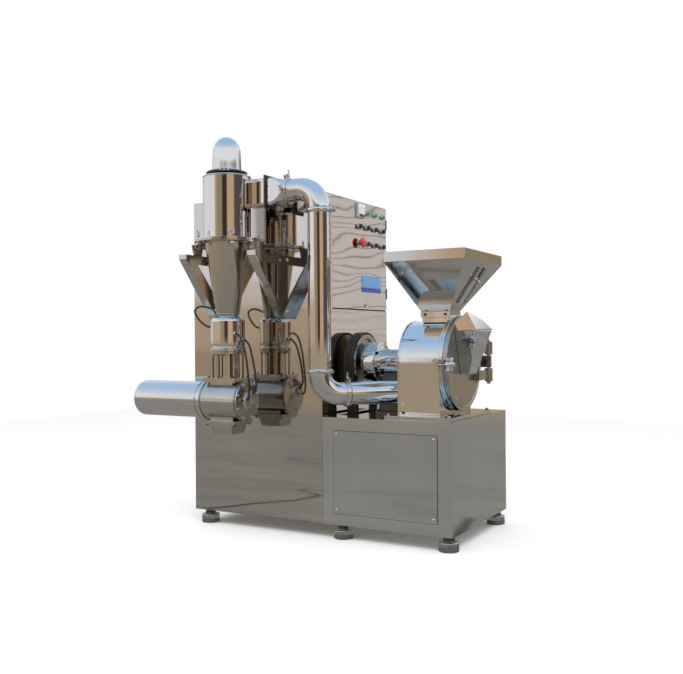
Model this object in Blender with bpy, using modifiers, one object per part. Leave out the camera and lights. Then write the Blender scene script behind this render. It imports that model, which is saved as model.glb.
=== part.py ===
"""Hammer mill set: crusher on a sheet base, cyclone with rotary valve, and dust cabinet.

Metres, +Z up. The parts are placed from the corner on the floor where the cabinet's
front meets the crusher base, and an empty carries that corner to its place beside the
origin, which lies on the floor under the middle of the whole set.
"""
import math

import bmesh
import bpy
from mathutils import Matrix, Vector

# Driving dimensions
SHEET = 0.004
GAP = 0.0004
FOOT_HEIGHT = 0.07
CABINET = Vector((0.775, 0.704, 1.60))
BASE = Vector((0.666, 0.737, 0.512))
SEAM_Z = FOOT_HEIGHT + 1.034
POST_WIDTH = 0.105
DOOR_BOTTOM = SEAM_Z + 0.006

CYCLONE_X, CYCLONE_Y = -0.405, -0.205
BARREL_RADIUS = 0.115
FLANGE_RADIUS = 0.158
FLANGE_Z = 1.43
BARREL_TOP = 1.735
DOME_RADIUS = 0.07
DOME_TOP = 1.932
CONE_BOTTOM = 1.07
CAN_BOTTOM = 0.915
NECK_BOTTOM = 0.772
VALVE_Z = 0.663
VALVE_RADIUS = 0.095
VALVE_LEFT, VALVE_RIGHT = -0.514, -0.300
GEAR_MOTOR_END = -0.945
GEAR_MOTOR_RADIUS = 0.088
SPOUT_BOTTOM = 0.505
BRACKET_OFFSET = 0.180
BRACKET_TOP = 1.37
BRACKET_BOTTOM = 1.055
BRACKET_REACH = 0.29
ANGLE_LEG = 0.045

PIPE_RADIUS = 0.054
PIPE_WALL = 0.002
RISER = Vector((0.058, -0.118, 0.0))
RISER_BOTTOM, RISER_TOP = 0.806, 1.554
BEND = 0.106
OUTLET_END = Vector((0.3496, 0.183, 0.0))

MILL_Y = 0.31
MILL_Z = 0.837
HOUSING_LEFT, HOUSING_RIGHT = 0.350, 0.562
HOUSING_RADIUS = 0.200
CHAMBER_RADIUS = 0.176
RING_RADIUS = 0.229
DOOR_LEFT = 0.586
DOOR_HINGE = Vector((0.628, 0.590, 0.0))
SHAFT_RADIUS = 0.022
PULLEY_RADIUS = 0.140
MOTOR_PULLEY_RADIUS = 0.060
PULLEY_LEFT, PULLEY_RIGHT = 0.028, 0.083
MOTOR_Z = 0.235
HOPPER_LOW = Vector((0.314, 0.040, 1.313))
HOPPER_HIGH = Vector((0.715, 0.545, 1.360))
THROAT_LOW = Vector((0.412, 0.245, 1.055))
THROAT_HIGH = Vector((0.560, 0.375, 1.160))

WHOLE_X = (GEAR_MOTOR_END + HOPPER_HIGH.x) / 2
WHOLE_Y = (CYCLONE_Y - FLANGE_RADIUS + BASE.y) / 2

# The set's own collections and the corner that carries everything
for old in list(bpy.data.objects):
    bpy.data.objects.remove(old)
parts = bpy.data.collections.new("hammer_mill")
cutters = bpy.data.collections.new("cutters")
bpy.context.scene.collection.children.link(parts)
bpy.context.scene.collection.children.link(cutters)
corner = bpy.data.objects.new("corner", None)
corner.location = (-WHOLE_X, -WHOLE_Y, 0)
parts.objects.link(corner)


def make_material(name, colour, roughness, metallic):
    material = bpy.data.materials.new(name)
    material.use_nodes = True
    shader = material.node_tree.nodes["Principled BSDF"]
    shader.inputs["Base Color"].default_value = (*colour, 1)
    shader.inputs["Roughness"].default_value = roughness
    shader.inputs["Metallic"].default_value = metallic
    return material


POLISHED = ((0.80, 0.79, 0.77), 0.08, 1.0)
SATIN = ((0.62, 0.61, 0.58), 0.30, 1.0)
CAST = ((0.45, 0.45, 0.43), 0.38, 1.0)
BLACK = ((0.02, 0.02, 0.02), 0.45, 0.0)
RED = ((0.65, 0.03, 0.03), 0.35, 0.0)
GREY_PAINT = ((0.16, 0.19, 0.20), 0.40, 0.0)
CLOTH = ((0.75, 0.74, 0.68), 0.90, 0.0)


def add_object(name, data, finish, place=(0, 0, 0), parent=None):
    """Link one named part with its own material, on the corner or on a given parent."""
    thing = bpy.data.objects.new(name, data)
    parts.objects.link(thing)
    thing.parent = parent or corner
    thing.location = place
    data.materials.append(make_material(name, *finish))
    return thing


def add_cutter(name, data, place=(0, 0, 0)):
    thing = bpy.data.objects.new(name, data)
    cutters.objects.link(thing)
    thing.parent = corner
    thing.location = place
    thing.hide_render = True
    thing.display_type = "WIRE"
    return thing


def use_boolean(target, cutter, operation="DIFFERENCE"):
    modifier = target.modifiers.new(cutter.name, "BOOLEAN")
    modifier.operation = operation
    modifier.object = cutter
    modifier.solver = "EXACT"


def box_mesh(name, low, high):
    low, high = Vector(low), Vector(high)
    mesh = bpy.data.meshes.new(name)
    form = bmesh.new()
    size = high - low
    bmesh.ops.create_cube(form, size=1, matrix=Matrix.Diagonal((*size, 1)))
    bmesh.ops.translate(form, verts=form.verts, vec=(low + high) / 2)
    form.to_mesh(mesh)
    form.free()
    return mesh


def rod_mesh(name, start, end, radius, segments=24):
    """A cylinder between two points."""
    start, end = Vector(start), Vector(end)
    mesh = bpy.data.meshes.new(name)
    form = bmesh.new()
    turn = (end - start).to_track_quat("Z", "Y").to_matrix().to_4x4()
    bmesh.ops.create_cone(form, cap_ends=True, segments=segments, radius1=radius,
                          radius2=radius, depth=(end - start).length,
                          matrix=Matrix.Translation((start + end) / 2) @ turn)
    form.to_mesh(mesh)
    form.free()
    mesh.shade_smooth()
    mesh.set_sharp_from_angle(angle=math.radians(40))
    return mesh


def loft_mesh(name, low_ring, high_ring):
    """A closed form between two rings of equally many corners, both anticlockwise from above."""
    mesh = bpy.data.meshes.new(name)
    form = bmesh.new()
    lower = [form.verts.new(point) for point in low_ring]
    upper = [form.verts.new(point) for point in high_ring]
    form.faces.new(list(reversed(lower)))
    form.faces.new(upper)
    count = len(lower)
    for index in range(count):
        after = (index + 1) % count
        form.faces.new((lower[index], lower[after], upper[after], upper[index]))
    bmesh.ops.recalc_face_normals(form, faces=form.faces)
    bmesh.ops.triangulate(form, faces=form.faces)
    form.to_mesh(mesh)
    form.free()
    return mesh


def rectangle(x_low, x_high, y_low, y_high, z):
    return [(x_low, y_low, z), (x_high, y_low, z), (x_high, y_high, z), (x_low, y_high, z)]


def turned(name, profile, finish, place, axis="Z", segments=32, parent=None):
    """Turn a profile of (radius, height) points, which runs down the outer side."""
    mesh = bpy.data.meshes.new(name)
    closed = profile[0][0] > 0 and profile[-1][0] > 0
    points = [(radius, 0, height) for radius, height in profile]
    edges = [(i, i + 1) for i in range(len(points) - 1)]
    if closed:
        edges.append((len(points) - 1, 0))
    mesh.from_pydata(points, edges, [])
    thing = add_object(name, mesh, finish, place, parent)
    if axis == "X":
        thing.rotation_euler = (0, math.pi / 2, 0)
    screw = thing.modifiers.new("turn", "SCREW")
    screw.steps = screw.render_steps = segments
    screw.use_merge_vertices = True
    screw.merge_threshold = 0.0001
    screw.use_smooth_shade = True
    return thing


def tube(name, points, radius, finish, wall=None, resolution=6):
    """A round tube along points: solid, or hollow with open ends when it has a wall."""
    curve = bpy.data.curves.new(name, "CURVE")
    curve.dimensions = "3D"
    curve.bevel_depth = radius
    curve.bevel_resolution = resolution
    curve.use_fill_caps = wall is None
    spline = curve.splines.new("POLY")
    spline.points.add(len(points) - 1)
    for target, point in zip(spline.points, points):
        target.co = (*point, 1)
    thing = add_object(name, curve, finish)
    if wall:
        shell = thing.modifiers.new("wall", "SOLIDIFY")
        shell.thickness = wall
        shell.offset = -1
    return thing


def bend_points(start, first, second, radius, count=7):
    """Points on a quarter bend that leaves start along first, by a short lead, to second."""
    lead = 0.006
    points = [Vector(start)]
    radius = radius - lead
    for index in range(count):
        turn = math.pi / 2 * index / (count - 1)
        points.append(Vector(start) + first * (lead + radius * math.sin(turn))
                      + second * radius * (1 - math.cos(turn)))
    return points


def smooth_route(route, count):
    """Read evenly spread points from a smooth curve through a hand-laid route."""
    route = [Vector(point) for point in route]
    padded = [2 * route[0] - route[1], *route, 2 * route[-1] - route[-2]]
    points = []
    for index in range(count):
        place = index / (count - 1) * (len(route) - 1)
        part = min(int(place), len(route) - 2)
        t = place - part
        a, b, c, d = padded[part:part + 4]
        points.append(0.5 * (2 * b + (c - a) * t + (2 * a - 5 * b + 4 * c - d) * t ** 2
                             + (3 * b - a - 3 * c + d) * t ** 3))
    return points


def ring(outer, inner, high, low):
    """The profile of a flat ring, down its outer side and up its inner side."""
    return [(outer, high), (outer, low), (inner, low), (inner, high)]


def build_cabinet():
    width, depth, _ = CABINET
    floor_z, top_z = FOOT_HEIGHT, FOOT_HEIGHT + CABINET.z
    for name, low_z, high_z, side in (
            ("cabinet_front_lower", floor_z + SHEET + GAP, SEAM_Z, depth),
            ("cabinet_front_upper", SEAM_Z + GAP, top_z - SHEET - GAP, POST_WIDTH)):
        sheet = add_object(name, box_mesh(name, (-width, 0, low_z), (0, SHEET, high_z)), POLISHED)
        wing = add_cutter(name + "_wing", box_mesh(name, (-SHEET, 0, low_z), (0, side, high_z)))
        use_boolean(sheet, wing, "UNION")
    low_z, high_z = floor_z + SHEET + GAP, top_z - SHEET - GAP
    rear = add_object("cabinet_rear_shell", box_mesh(
        "rear", (-width, depth - SHEET, low_z), (-SHEET - GAP, depth, high_z)), SATIN)
    wing = add_cutter("rear_wing", box_mesh(
        "rear_wing", (-width, SHEET + GAP, low_z), (SHEET - width, depth, high_z)))
    use_boolean(rear, wing, "UNION")
    add_object("cabinet_floor", box_mesh(
        "floor", (-width, 0, floor_z), (0, depth, floor_z + SHEET)), SATIN)
    add_object("cabinet_top", box_mesh(
        "top", (-width, 0, top_z - SHEET), (0, depth, top_z)), POLISHED)
    inset = SHEET + GAP
    sheet = add_object("filter_tube_sheet", box_mesh(
        "tube_sheet", (inset - width, inset, SEAM_Z - 0.03),
        (-inset, depth - inset, SEAM_Z - 0.027)), SATIN)
    fan_place = (-width / 2, depth / 2, 0)
    hole = add_cutter("filter_hole", rod_mesh(
        "hole", (0, 0, SEAM_Z - 0.1), (0, 0, SEAM_Z), 0.16, 28), fan_place)
    use_boolean(sheet, hole)
    top, bottom = SEAM_Z - 0.031, 0.45
    turned("filter_cartridge", [
        (0, bottom + 0.003), (0.197, bottom + 0.003), (0.197, top - 0.003),
        (0.161, top - 0.003), (0.161, top), (0.20, top), (0.20, bottom), (0, bottom)],
        CLOTH, fan_place, segments=24)
    turned("fan_motor", [(0, 1.60), (0.09, 1.60), (0.09, 1.40), (0.014, 1.40),
                         (0.014, 1.425), (0, 1.425)], GREY_PAINT, fan_place, segments=24)
    impeller = turned("fan_impeller", [
        (0, 1.42), (0.012, 1.42), (0.012, 1.30), (0.15, 1.30), (0.15, 1.29), (0, 1.29)],
        SATIN, fan_place, segments=24)
    for index in range(6):
        blade = add_cutter(f"fan_blade_{index}", box_mesh(
            "blade", (0.04, -0.002, 1.22), (0.148, 0.002, 1.295)), fan_place)
        blade.rotation_euler.z = math.tau * index / 6
        use_boolean(impeller, blade, "UNION")


def build_control_door():
    """The door that closes the upper right side, hinged on its rear edge."""
    door_hinge = Vector((0, CABINET.y, 0))
    top_z = FOOT_HEIGHT + CABINET.z - SHEET - GAP
    mesh = box_mesh("control_door", (-SHEET, POST_WIDTH + 0.001 - CABINET.y, DOOR_BOTTOM),
                    (0, -GAP, top_z))
    door = add_object("control_door", mesh, POLISHED, door_hinge)
    columns = [0.388 + 0.089 * index for index in range(4)]
    for row, z in enumerate((1.540, 1.455)):
        for column, y in enumerate(columns):
            place = (0, y - CABINET.y, z)
            if row == 1 and column == 0:
                hole_radius = 0.0110
                turned("stop_mushroom", [
                    (0, 0.034), (0.020, 0.032), (0.026, 0.026), (0.026, 0.018), (0.0105, 0.018),
                    (0.0105, -0.012), (0, -0.012)], RED, place, "X", 24, parent=door)
            else:
                hole_radius = 0.0125
                turned(f"push_button_{row * 4 + column + 1}", [
                    (0, 0.020), (0.009, 0.019), (0.012, 0.016), (0.012, -0.012), (0, -0.012)],
                    BLACK, place, "X", 20, parent=door)
            hole = add_cutter(f"button_hole_{row}_{column}", rod_mesh(
                "hole", (-0.02, 0, 0), (0.02, 0, 0), hole_radius, 20),
                Vector(place) + door_hinge)
            use_boolean(door, hole)


def build_feet():
    inset = 0.05
    places = {
        "cabinet_foot": [(-CABINET.x + 0.06, y) for y in (inset, CABINET.y - inset)],
        "base_foot": [(x, y) for x in (0.085, BASE.x - 0.04) for y in (inset, BASE.y - inset)],
    }
    profile = [(0, 0.0696), (0.030, 0.0696), (0.030, 0.046), (0.046, 0.041), (0.046, 0), (0, 0)]
    for kind, spots in places.items():
        for number, (x, y) in enumerate(spots, start=1):
            turned(f"{kind}_{number}", profile, SATIN, (x, y, 0), segments=16)


def build_base():
    low_z, top_z = FOOT_HEIGHT, FOOT_HEIGHT + BASE.z
    start_x = 0.001
    shell = add_object("base_shell", box_mesh(
        "base", (start_x, 0, low_z), (BASE.x, BASE.y, top_z)), SATIN)
    room = add_cutter("base_room", box_mesh(
        "room", (start_x + SHEET, SHEET, low_z + SHEET),
        (BASE.x - SHEET, BASE.y - SHEET, top_z - SHEET)))
    window = add_cutter("base_window", box_mesh(
        "window", (0.075, -0.1, 0.14), (0.580, 0.05, 0.505)))
    slot = add_cutter("belt_slot", box_mesh(
        "slot", (0.016, 0.12, 0.5), (0.095, 0.50, 0.7)))
    for cutter in (room, window, slot):
        use_boolean(shell, cutter)
    add_object("base_front_panel", box_mesh(
        "panel", (0.061, -0.003, 0.126), (0.594, -GAP, 0.519)), POLISHED)


def build_cyclone():
    place = (CYCLONE_X, CYCLONE_Y, 0)
    wall = 0.003
    barrel = turned("cyclone_barrel", [
        (BARREL_RADIUS, BARREL_TOP), (BARREL_RADIUS, FLANGE_Z + 0.008),
        (FLANGE_RADIUS, FLANGE_Z + 0.008), (FLANGE_RADIUS, FLANGE_Z + GAP),
        (BARREL_RADIUS - wall, FLANGE_Z + GAP), (BARREL_RADIUS - wall, BARREL_TOP)],
        POLISHED, place)
    duct_hole = add_cutter("duct_hole", box_mesh(
        "duct_hole", (CYCLONE_X + 0.02, -0.1600, 1.596), (CYCLONE_X + 0.3, -0.0970, 1.719)))
    use_boolean(barrel, duct_hole)
    turned("cyclone_lid", [
        (0.085, BARREL_TOP + 0.028), (0.097, BARREL_TOP + 0.016), (0.119, BARREL_TOP + 0.012),
        (0.119, BARREL_TOP + GAP), (DOME_RADIUS - 0.02, BARREL_TOP + GAP),
        (DOME_RADIUS - 0.02, BARREL_TOP + 0.028)], POLISHED, place)
    dome_start = BARREL_TOP + 0.0284
    dome = [(0, DOME_TOP)]
    outside, inside = [], []
    for index in range(1, 5):
        turn = math.pi / 2 * index / 4
        outside.append((DOME_RADIUS * math.sin(turn),
                        DOME_TOP - DOME_RADIUS * 0.8 * (1 - math.cos(turn))))
        inside.append(((DOME_RADIUS - wall) * math.sin(turn),
                       DOME_TOP - wall - DOME_RADIUS * 0.8 * (1 - math.cos(turn))))
    dome += [*outside, (DOME_RADIUS, dome_start + 0.006), (DOME_RADIUS + 0.012, dome_start + 0.004),
             (DOME_RADIUS + 0.012, dome_start), (DOME_RADIUS - wall, dome_start)]
    dome += [*reversed(inside), (0, DOME_TOP - wall)]
    turned("exhaust_dome", dome, POLISHED, place, segments=28)
    turned("cyclone_cone", [
        (FLANGE_RADIUS, FLANGE_Z), (FLANGE_RADIUS, FLANGE_Z - 0.008),
        (0.107, FLANGE_Z - 0.008), (0.054, CONE_BOTTOM), (0.051, CONE_BOTTOM),
        (0.104, FLANGE_Z)], SATIN, place)
    turned("receiver_can", [
        (0.055, CONE_BOTTOM - GAP), (0.066, CONE_BOTTOM - 0.006), (0.082, CONE_BOTTOM - 0.028),
        (0.082, CAN_BOTTOM + 0.024), (0.072, CAN_BOTTOM + 0.004), (0.084, CAN_BOTTOM),
        (0.084, CAN_BOTTOM - 0.012), (0.060, CAN_BOTTOM - 0.012), (0.060, CAN_BOTTOM),
        (0.069, CAN_BOTTOM + 0.006), (0.079, CAN_BOTTOM + 0.026),
        (0.079, CONE_BOTTOM - 0.030), (0.064, CONE_BOTTOM - 0.009), (0.050, CONE_BOTTOM - GAP)],
        POLISHED, place)
    top_z = CAN_BOTTOM - 0.012 - GAP
    neck = turned("valve_neck", ring(0.080, 0.040, top_z, top_z - 0.014), SATIN, place,
                  segments=32)
    pipe = add_cutter("neck_pipe", rod_mesh(
        "pipe", (0, 0, NECK_BOTTOM), (0, 0, top_z - 0.010), 0.056, 32), place)
    plate = add_cutter("neck_plate", box_mesh(
        "plate", (-0.095, -0.078, NECK_BOTTOM - 0.010), (0.095, 0.078, NECK_BOTTOM + 0.002)),
        place)
    passage = add_cutter("neck_passage", rod_mesh(
        "passage", (0, 0, 0.7), (0, 0, 1.0), 0.048, 32), place)
    use_boolean(neck, pipe, "UNION")
    use_boolean(neck, plate, "UNION")
    use_boolean(neck, passage)
    build_rotary_valve(place)


def build_rotary_valve(place):
    bore = VALVE_RADIUS - 0.010
    body = add_object("valve_body", rod_mesh(
        "valve_body", (VALVE_LEFT, CYCLONE_Y, VALVE_Z), (VALVE_RIGHT, CYCLONE_Y, VALVE_Z),
        VALVE_RADIUS, 40), SATIN)
    saddle_top = NECK_BOTTOM - 0.010 - GAP
    foot_bottom = VALVE_Z - 0.104
    throat = add_cutter("valve_throat", box_mesh(
        "throat", (-0.066, -0.056, foot_bottom), (0.066, 0.056, saddle_top)), place)
    saddle = add_cutter("valve_saddle", box_mesh(
        "saddle", (-0.092, -0.074, saddle_top - 0.010), (0.092, 0.074, saddle_top)), place)
    foot = add_cutter("valve_foot", box_mesh(
        "foot", (-0.088, -0.074, foot_bottom), (0.088, 0.074, foot_bottom + 0.010)), place)
    room = add_cutter("valve_room", rod_mesh(
        "room", (VALVE_LEFT + 0.008, CYCLONE_Y, VALVE_Z), (0, CYCLONE_Y, VALVE_Z), bore, 40))
    shaft_way = add_cutter("valve_shaft_way", rod_mesh(
        "way", (-0.7, CYCLONE_Y, VALVE_Z), (0, CYCLONE_Y, VALVE_Z), 0.0135, 20))
    drop = add_cutter("valve_drop", box_mesh(
        "drop", (-0.046, -0.046, 0.4), (0.046, 0.046, 0.9)), place)
    for cutter in (throat, saddle, foot):
        use_boolean(body, cutter, "UNION")
    for cutter in (room, shaft_way, drop):
        use_boolean(body, cutter)
    turned("valve_cover", [
        (0, 0.024), (0.034, 0.024), (0.040, 0.016), (0.078, 0.012), (0.094, 0.008), (0.094, GAP),
        (0.013, GAP), (0.013, 0.006), (0, 0.006)],
        SATIN, (VALVE_RIGHT, CYCLONE_Y, VALVE_Z), "X", 32)
    rotor_left, rotor_right = VALVE_LEFT + 0.012, VALVE_RIGHT - 0.003
    axis = Vector((0, CYCLONE_Y, VALVE_Z))
    rotor = add_object("valve_rotor", rod_mesh(
        "valve_rotor", (-0.560, 0, 0), (VALVE_RIGHT + 0.004, 0, 0), 0.0125, 20), CAST, axis)
    hub = add_cutter("valve_hub", rod_mesh(
        "hub", (rotor_left, 0, 0), (rotor_right, 0, 0), 0.030, 20), axis)
    use_boolean(rotor, hub, "UNION")
    for index in range(3):
        vane = add_cutter(f"valve_vane_{index}", box_mesh(
            "vane", (rotor_left, -0.002, 0.002 - bore), (rotor_right, 0.002, bore - 0.002)), axis)
        vane.rotation_euler.x = math.tau * (index + 0.5) / 6
        use_boolean(rotor, vane, "UNION")
    length = VALVE_LEFT - GEAR_MOTOR_END
    turned("gear_motor", [
        (0, length - GAP), (0.094, length - GAP), (0.094, length - 0.016),
        (GEAR_MOTOR_RADIUS, length - 0.016), (GEAR_MOTOR_RADIUS, 0.030), (0.080, 0.010),
        (0.066, 0), (0, 0)],
        POLISHED, (GEAR_MOTOR_END, CYCLONE_Y, VALVE_Z), "X", 32)
    socket = add_cutter("gear_motor_socket", rod_mesh(
        "socket", (-0.570, CYCLONE_Y, VALVE_Z), (-0.4, CYCLONE_Y, VALVE_Z), 0.0135, 20))
    use_boolean(bpy.data.objects["gear_motor"], socket)
    top_z = VALVE_Z - 0.104 - GAP
    x, y = CYCLONE_X, CYCLONE_Y
    outer = loft_mesh("discharge_spout", rectangle(x - 0.053, x + 0.053, y - 0.051, y + 0.051,
                                                   SPOUT_BOTTOM),
                      rectangle(x - 0.070, x + 0.070, y - 0.062, y + 0.062, top_z))
    spout = add_object("discharge_spout", outer, SATIN)
    inner = add_cutter("spout_way", loft_mesh(
        "spout_way", rectangle(x - 0.049, x + 0.049, y - 0.047, y + 0.047, SPOUT_BOTTOM - 0.001),
        rectangle(x - 0.066, x + 0.066, y - 0.058, y + 0.058, top_z + 0.001)))
    use_boolean(spout, inner)


def build_brackets():
    """Angle-iron triangles on the cabinet's front, whose saddles hold the cyclone's flange."""
    thick = 0.004
    for name, side in (("bracket_left", -1), ("bracket_right", 1)):
        inner_x = CYCLONE_X + side * BRACKET_OFFSET
        web_low, web_high = sorted((inner_x, inner_x + side * thick))
        outline = [(-BRACKET_REACH, BRACKET_TOP), (-BRACKET_REACH, BRACKET_TOP - 0.02),
                   (-ANGLE_LEG, BRACKET_BOTTOM), (-GAP, BRACKET_BOTTOM), (-GAP, BRACKET_TOP)]
        hole = [(-BRACKET_REACH + 0.085, BRACKET_TOP - ANGLE_LEG),
                (-ANGLE_LEG, BRACKET_TOP - ANGLE_LEG), (-ANGLE_LEG, BRACKET_BOTTOM + 0.095)]
        bracket = add_object(name, plate_mesh(name, outline, web_low, web_high), SATIN)
        use_boolean(bracket, add_cutter(name + "_hole", plate_mesh(
            "hole", hole, web_low - 0.01, web_high + 0.01)))
        low_x, high_x = sorted((inner_x, inner_x + side * ANGLE_LEG))
        brace = [(-BRACKET_REACH - thick, BRACKET_TOP), (-BRACKET_REACH - thick,
                 BRACKET_TOP - 0.022), (-ANGLE_LEG - thick, BRACKET_BOTTOM),
                 (-ANGLE_LEG, BRACKET_BOTTOM), (-BRACKET_REACH, BRACKET_TOP - 0.020),
                 (-BRACKET_REACH, BRACKET_TOP)]
        use_boolean(bracket, add_cutter(name + "_brace", plate_mesh(
            "brace", brace, low_x, high_x)), "UNION")
        saddle_x = sorted((inner_x - side * 0.045, inner_x + side * thick))
        saddle = [(CYCLONE_Y - 0.045, FLANGE_Z - 0.008 - GAP), (CYCLONE_Y - 0.030, BRACKET_TOP),
                  (CYCLONE_Y + 0.030, BRACKET_TOP), (CYCLONE_Y + 0.045, FLANGE_Z - 0.008 - GAP)]
        use_boolean(bracket, add_cutter(name + "_saddle", plate_mesh(
            "saddle", saddle, web_low, web_high)), "UNION")
        shelf = box_mesh("shelf", (saddle_x[0], CYCLONE_Y - 0.045, FLANGE_Z - 0.012 - GAP),
                         (saddle_x[1], CYCLONE_Y + 0.045, FLANGE_Z - 0.008 - GAP))
        use_boolean(bracket, add_cutter(name + "_shelf", shelf), "UNION")


def plate_mesh(name, outline, x_low, x_high):
    """A plate between two X planes, from an outline of (y, z) points."""
    area = sum(a[0] * b[1] - b[0] * a[1] for a, b in zip(outline, outline[1:] + outline[:1]))
    if area < 0:
        outline = list(reversed(outline))
    low = [(x_low, y, z) for y, z in outline]
    high = [(x_high, y, z) for y, z in outline]
    return loft_mesh(name, low, high)


def build_ducts():
    up, left = Vector((0, 0, 1)), Vector((-1, 0, 0))
    towards = (OUTLET_END - RISER).normalized()
    tube("riser_pipe", [RISER + up * (RISER_BOTTOM + GAP), RISER + up * (RISER_TOP - GAP)],
         PIPE_RADIUS, POLISHED, PIPE_WALL, 8)
    upper = bend_points(RISER + up * RISER_TOP, up, left, BEND)
    upper.append(upper[-1] + left * 0.062)
    tube("upper_elbow", upper, PIPE_RADIUS, POLISHED, PIPE_WALL, 8)
    lower = bend_points(RISER + up * RISER_BOTTOM, -up, towards, BEND)
    lower.append(lower[-1] + towards * 0.03)
    tube("lower_elbow", lower, PIPE_RADIUS, POLISHED, PIPE_WALL, 8)
    start = lower[-1] + towards * GAP
    end = OUTLET_END + up * start.z
    across = up.cross(towards)
    rings = []
    for middle in (start, end + towards * 0.08):
        rings.append([middle + PIPE_RADIUS * (across * math.cos(math.tau * index / 32)
                                              + up * math.sin(math.tau * index / 32))
                      for index in range(32)])
    outlet = add_object("outlet_pipe", skin_mesh("outlet_pipe", rings), POLISHED)
    shell = outlet.modifiers.new("wall", "SOLIDIFY")
    shell.thickness = PIPE_WALL
    shell.offset = -1
    use_boolean(outlet, add_cutter("housing_side", box_mesh(
        "side", (OUTLET_END.x, 0, 0.5), (0.6, 0.4, 0.8))))
    duct_start = upper[-1] + left * 0.0015
    middle_z = duct_start.z
    right_x, left_x = duct_start.x, duct_start.x - 0.098
    rings = [duct_ring(CYCLONE_X + 0.03, 0.034, 0.066, -0.1285, middle_z, True),
             duct_ring(left_x, 0.034, 0.066, -0.1285, middle_z, True),
             duct_ring(right_x, PIPE_RADIUS, PIPE_RADIUS, RISER.y, middle_z, False)]
    duct = add_object("inlet_duct", skin_mesh("inlet_duct", rings), POLISHED)
    shell = duct.modifiers.new("wall", "SOLIDIFY")
    shell.thickness = PIPE_WALL
    shell.offset = -1
    use_boolean(duct, add_cutter("duct_barrel_way", rod_mesh(
        "barrel_way", (CYCLONE_X, CYCLONE_Y, 1.4), (CYCLONE_X, CYCLONE_Y, 1.9),
        BARREL_RADIUS + GAP, 64)))


def skin_mesh(name, rings):
    """An open skin through rings of equally many corners."""
    mesh = bpy.data.meshes.new(name)
    form = bmesh.new()
    rows = [[form.verts.new(point) for point in ring_points] for ring_points in rings]
    for lower, upper in zip(rows, rows[1:]):
        for index in range(len(lower)):
            after = (index + 1) % len(lower)
            form.faces.new((lower[index], lower[after], upper[after], upper[index]))
    bmesh.ops.triangulate(form, faces=form.faces)
    form.to_mesh(mesh)
    form.free()
    return mesh


def duct_ring(x, half_y, half_z, centre_y, centre_z, square, sides=16):
    """A ring of corners round a duct at one X: on a rectangle or on an ellipse."""
    points = []
    for index in range(sides):
        turn = math.tau * (index + 0.5) / sides
        reach = max(abs(math.cos(turn)), abs(math.sin(turn))) if square else 1
        points.append((x, centre_y + half_y * math.cos(turn) / reach,
                       centre_z + half_z * math.sin(turn) / reach))
    return points


def housing_outline(radius, low_z, count=24):
    """A round-topped outline of (y, z) points about the mill's axis."""
    points = [(MILL_Y - radius, low_z), (MILL_Y + radius, low_z)]
    for index in range(count + 1):
        turn = math.pi * index / count
        points.append((MILL_Y + radius * math.cos(turn), MILL_Z + radius * math.sin(turn)))
    return points


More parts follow.
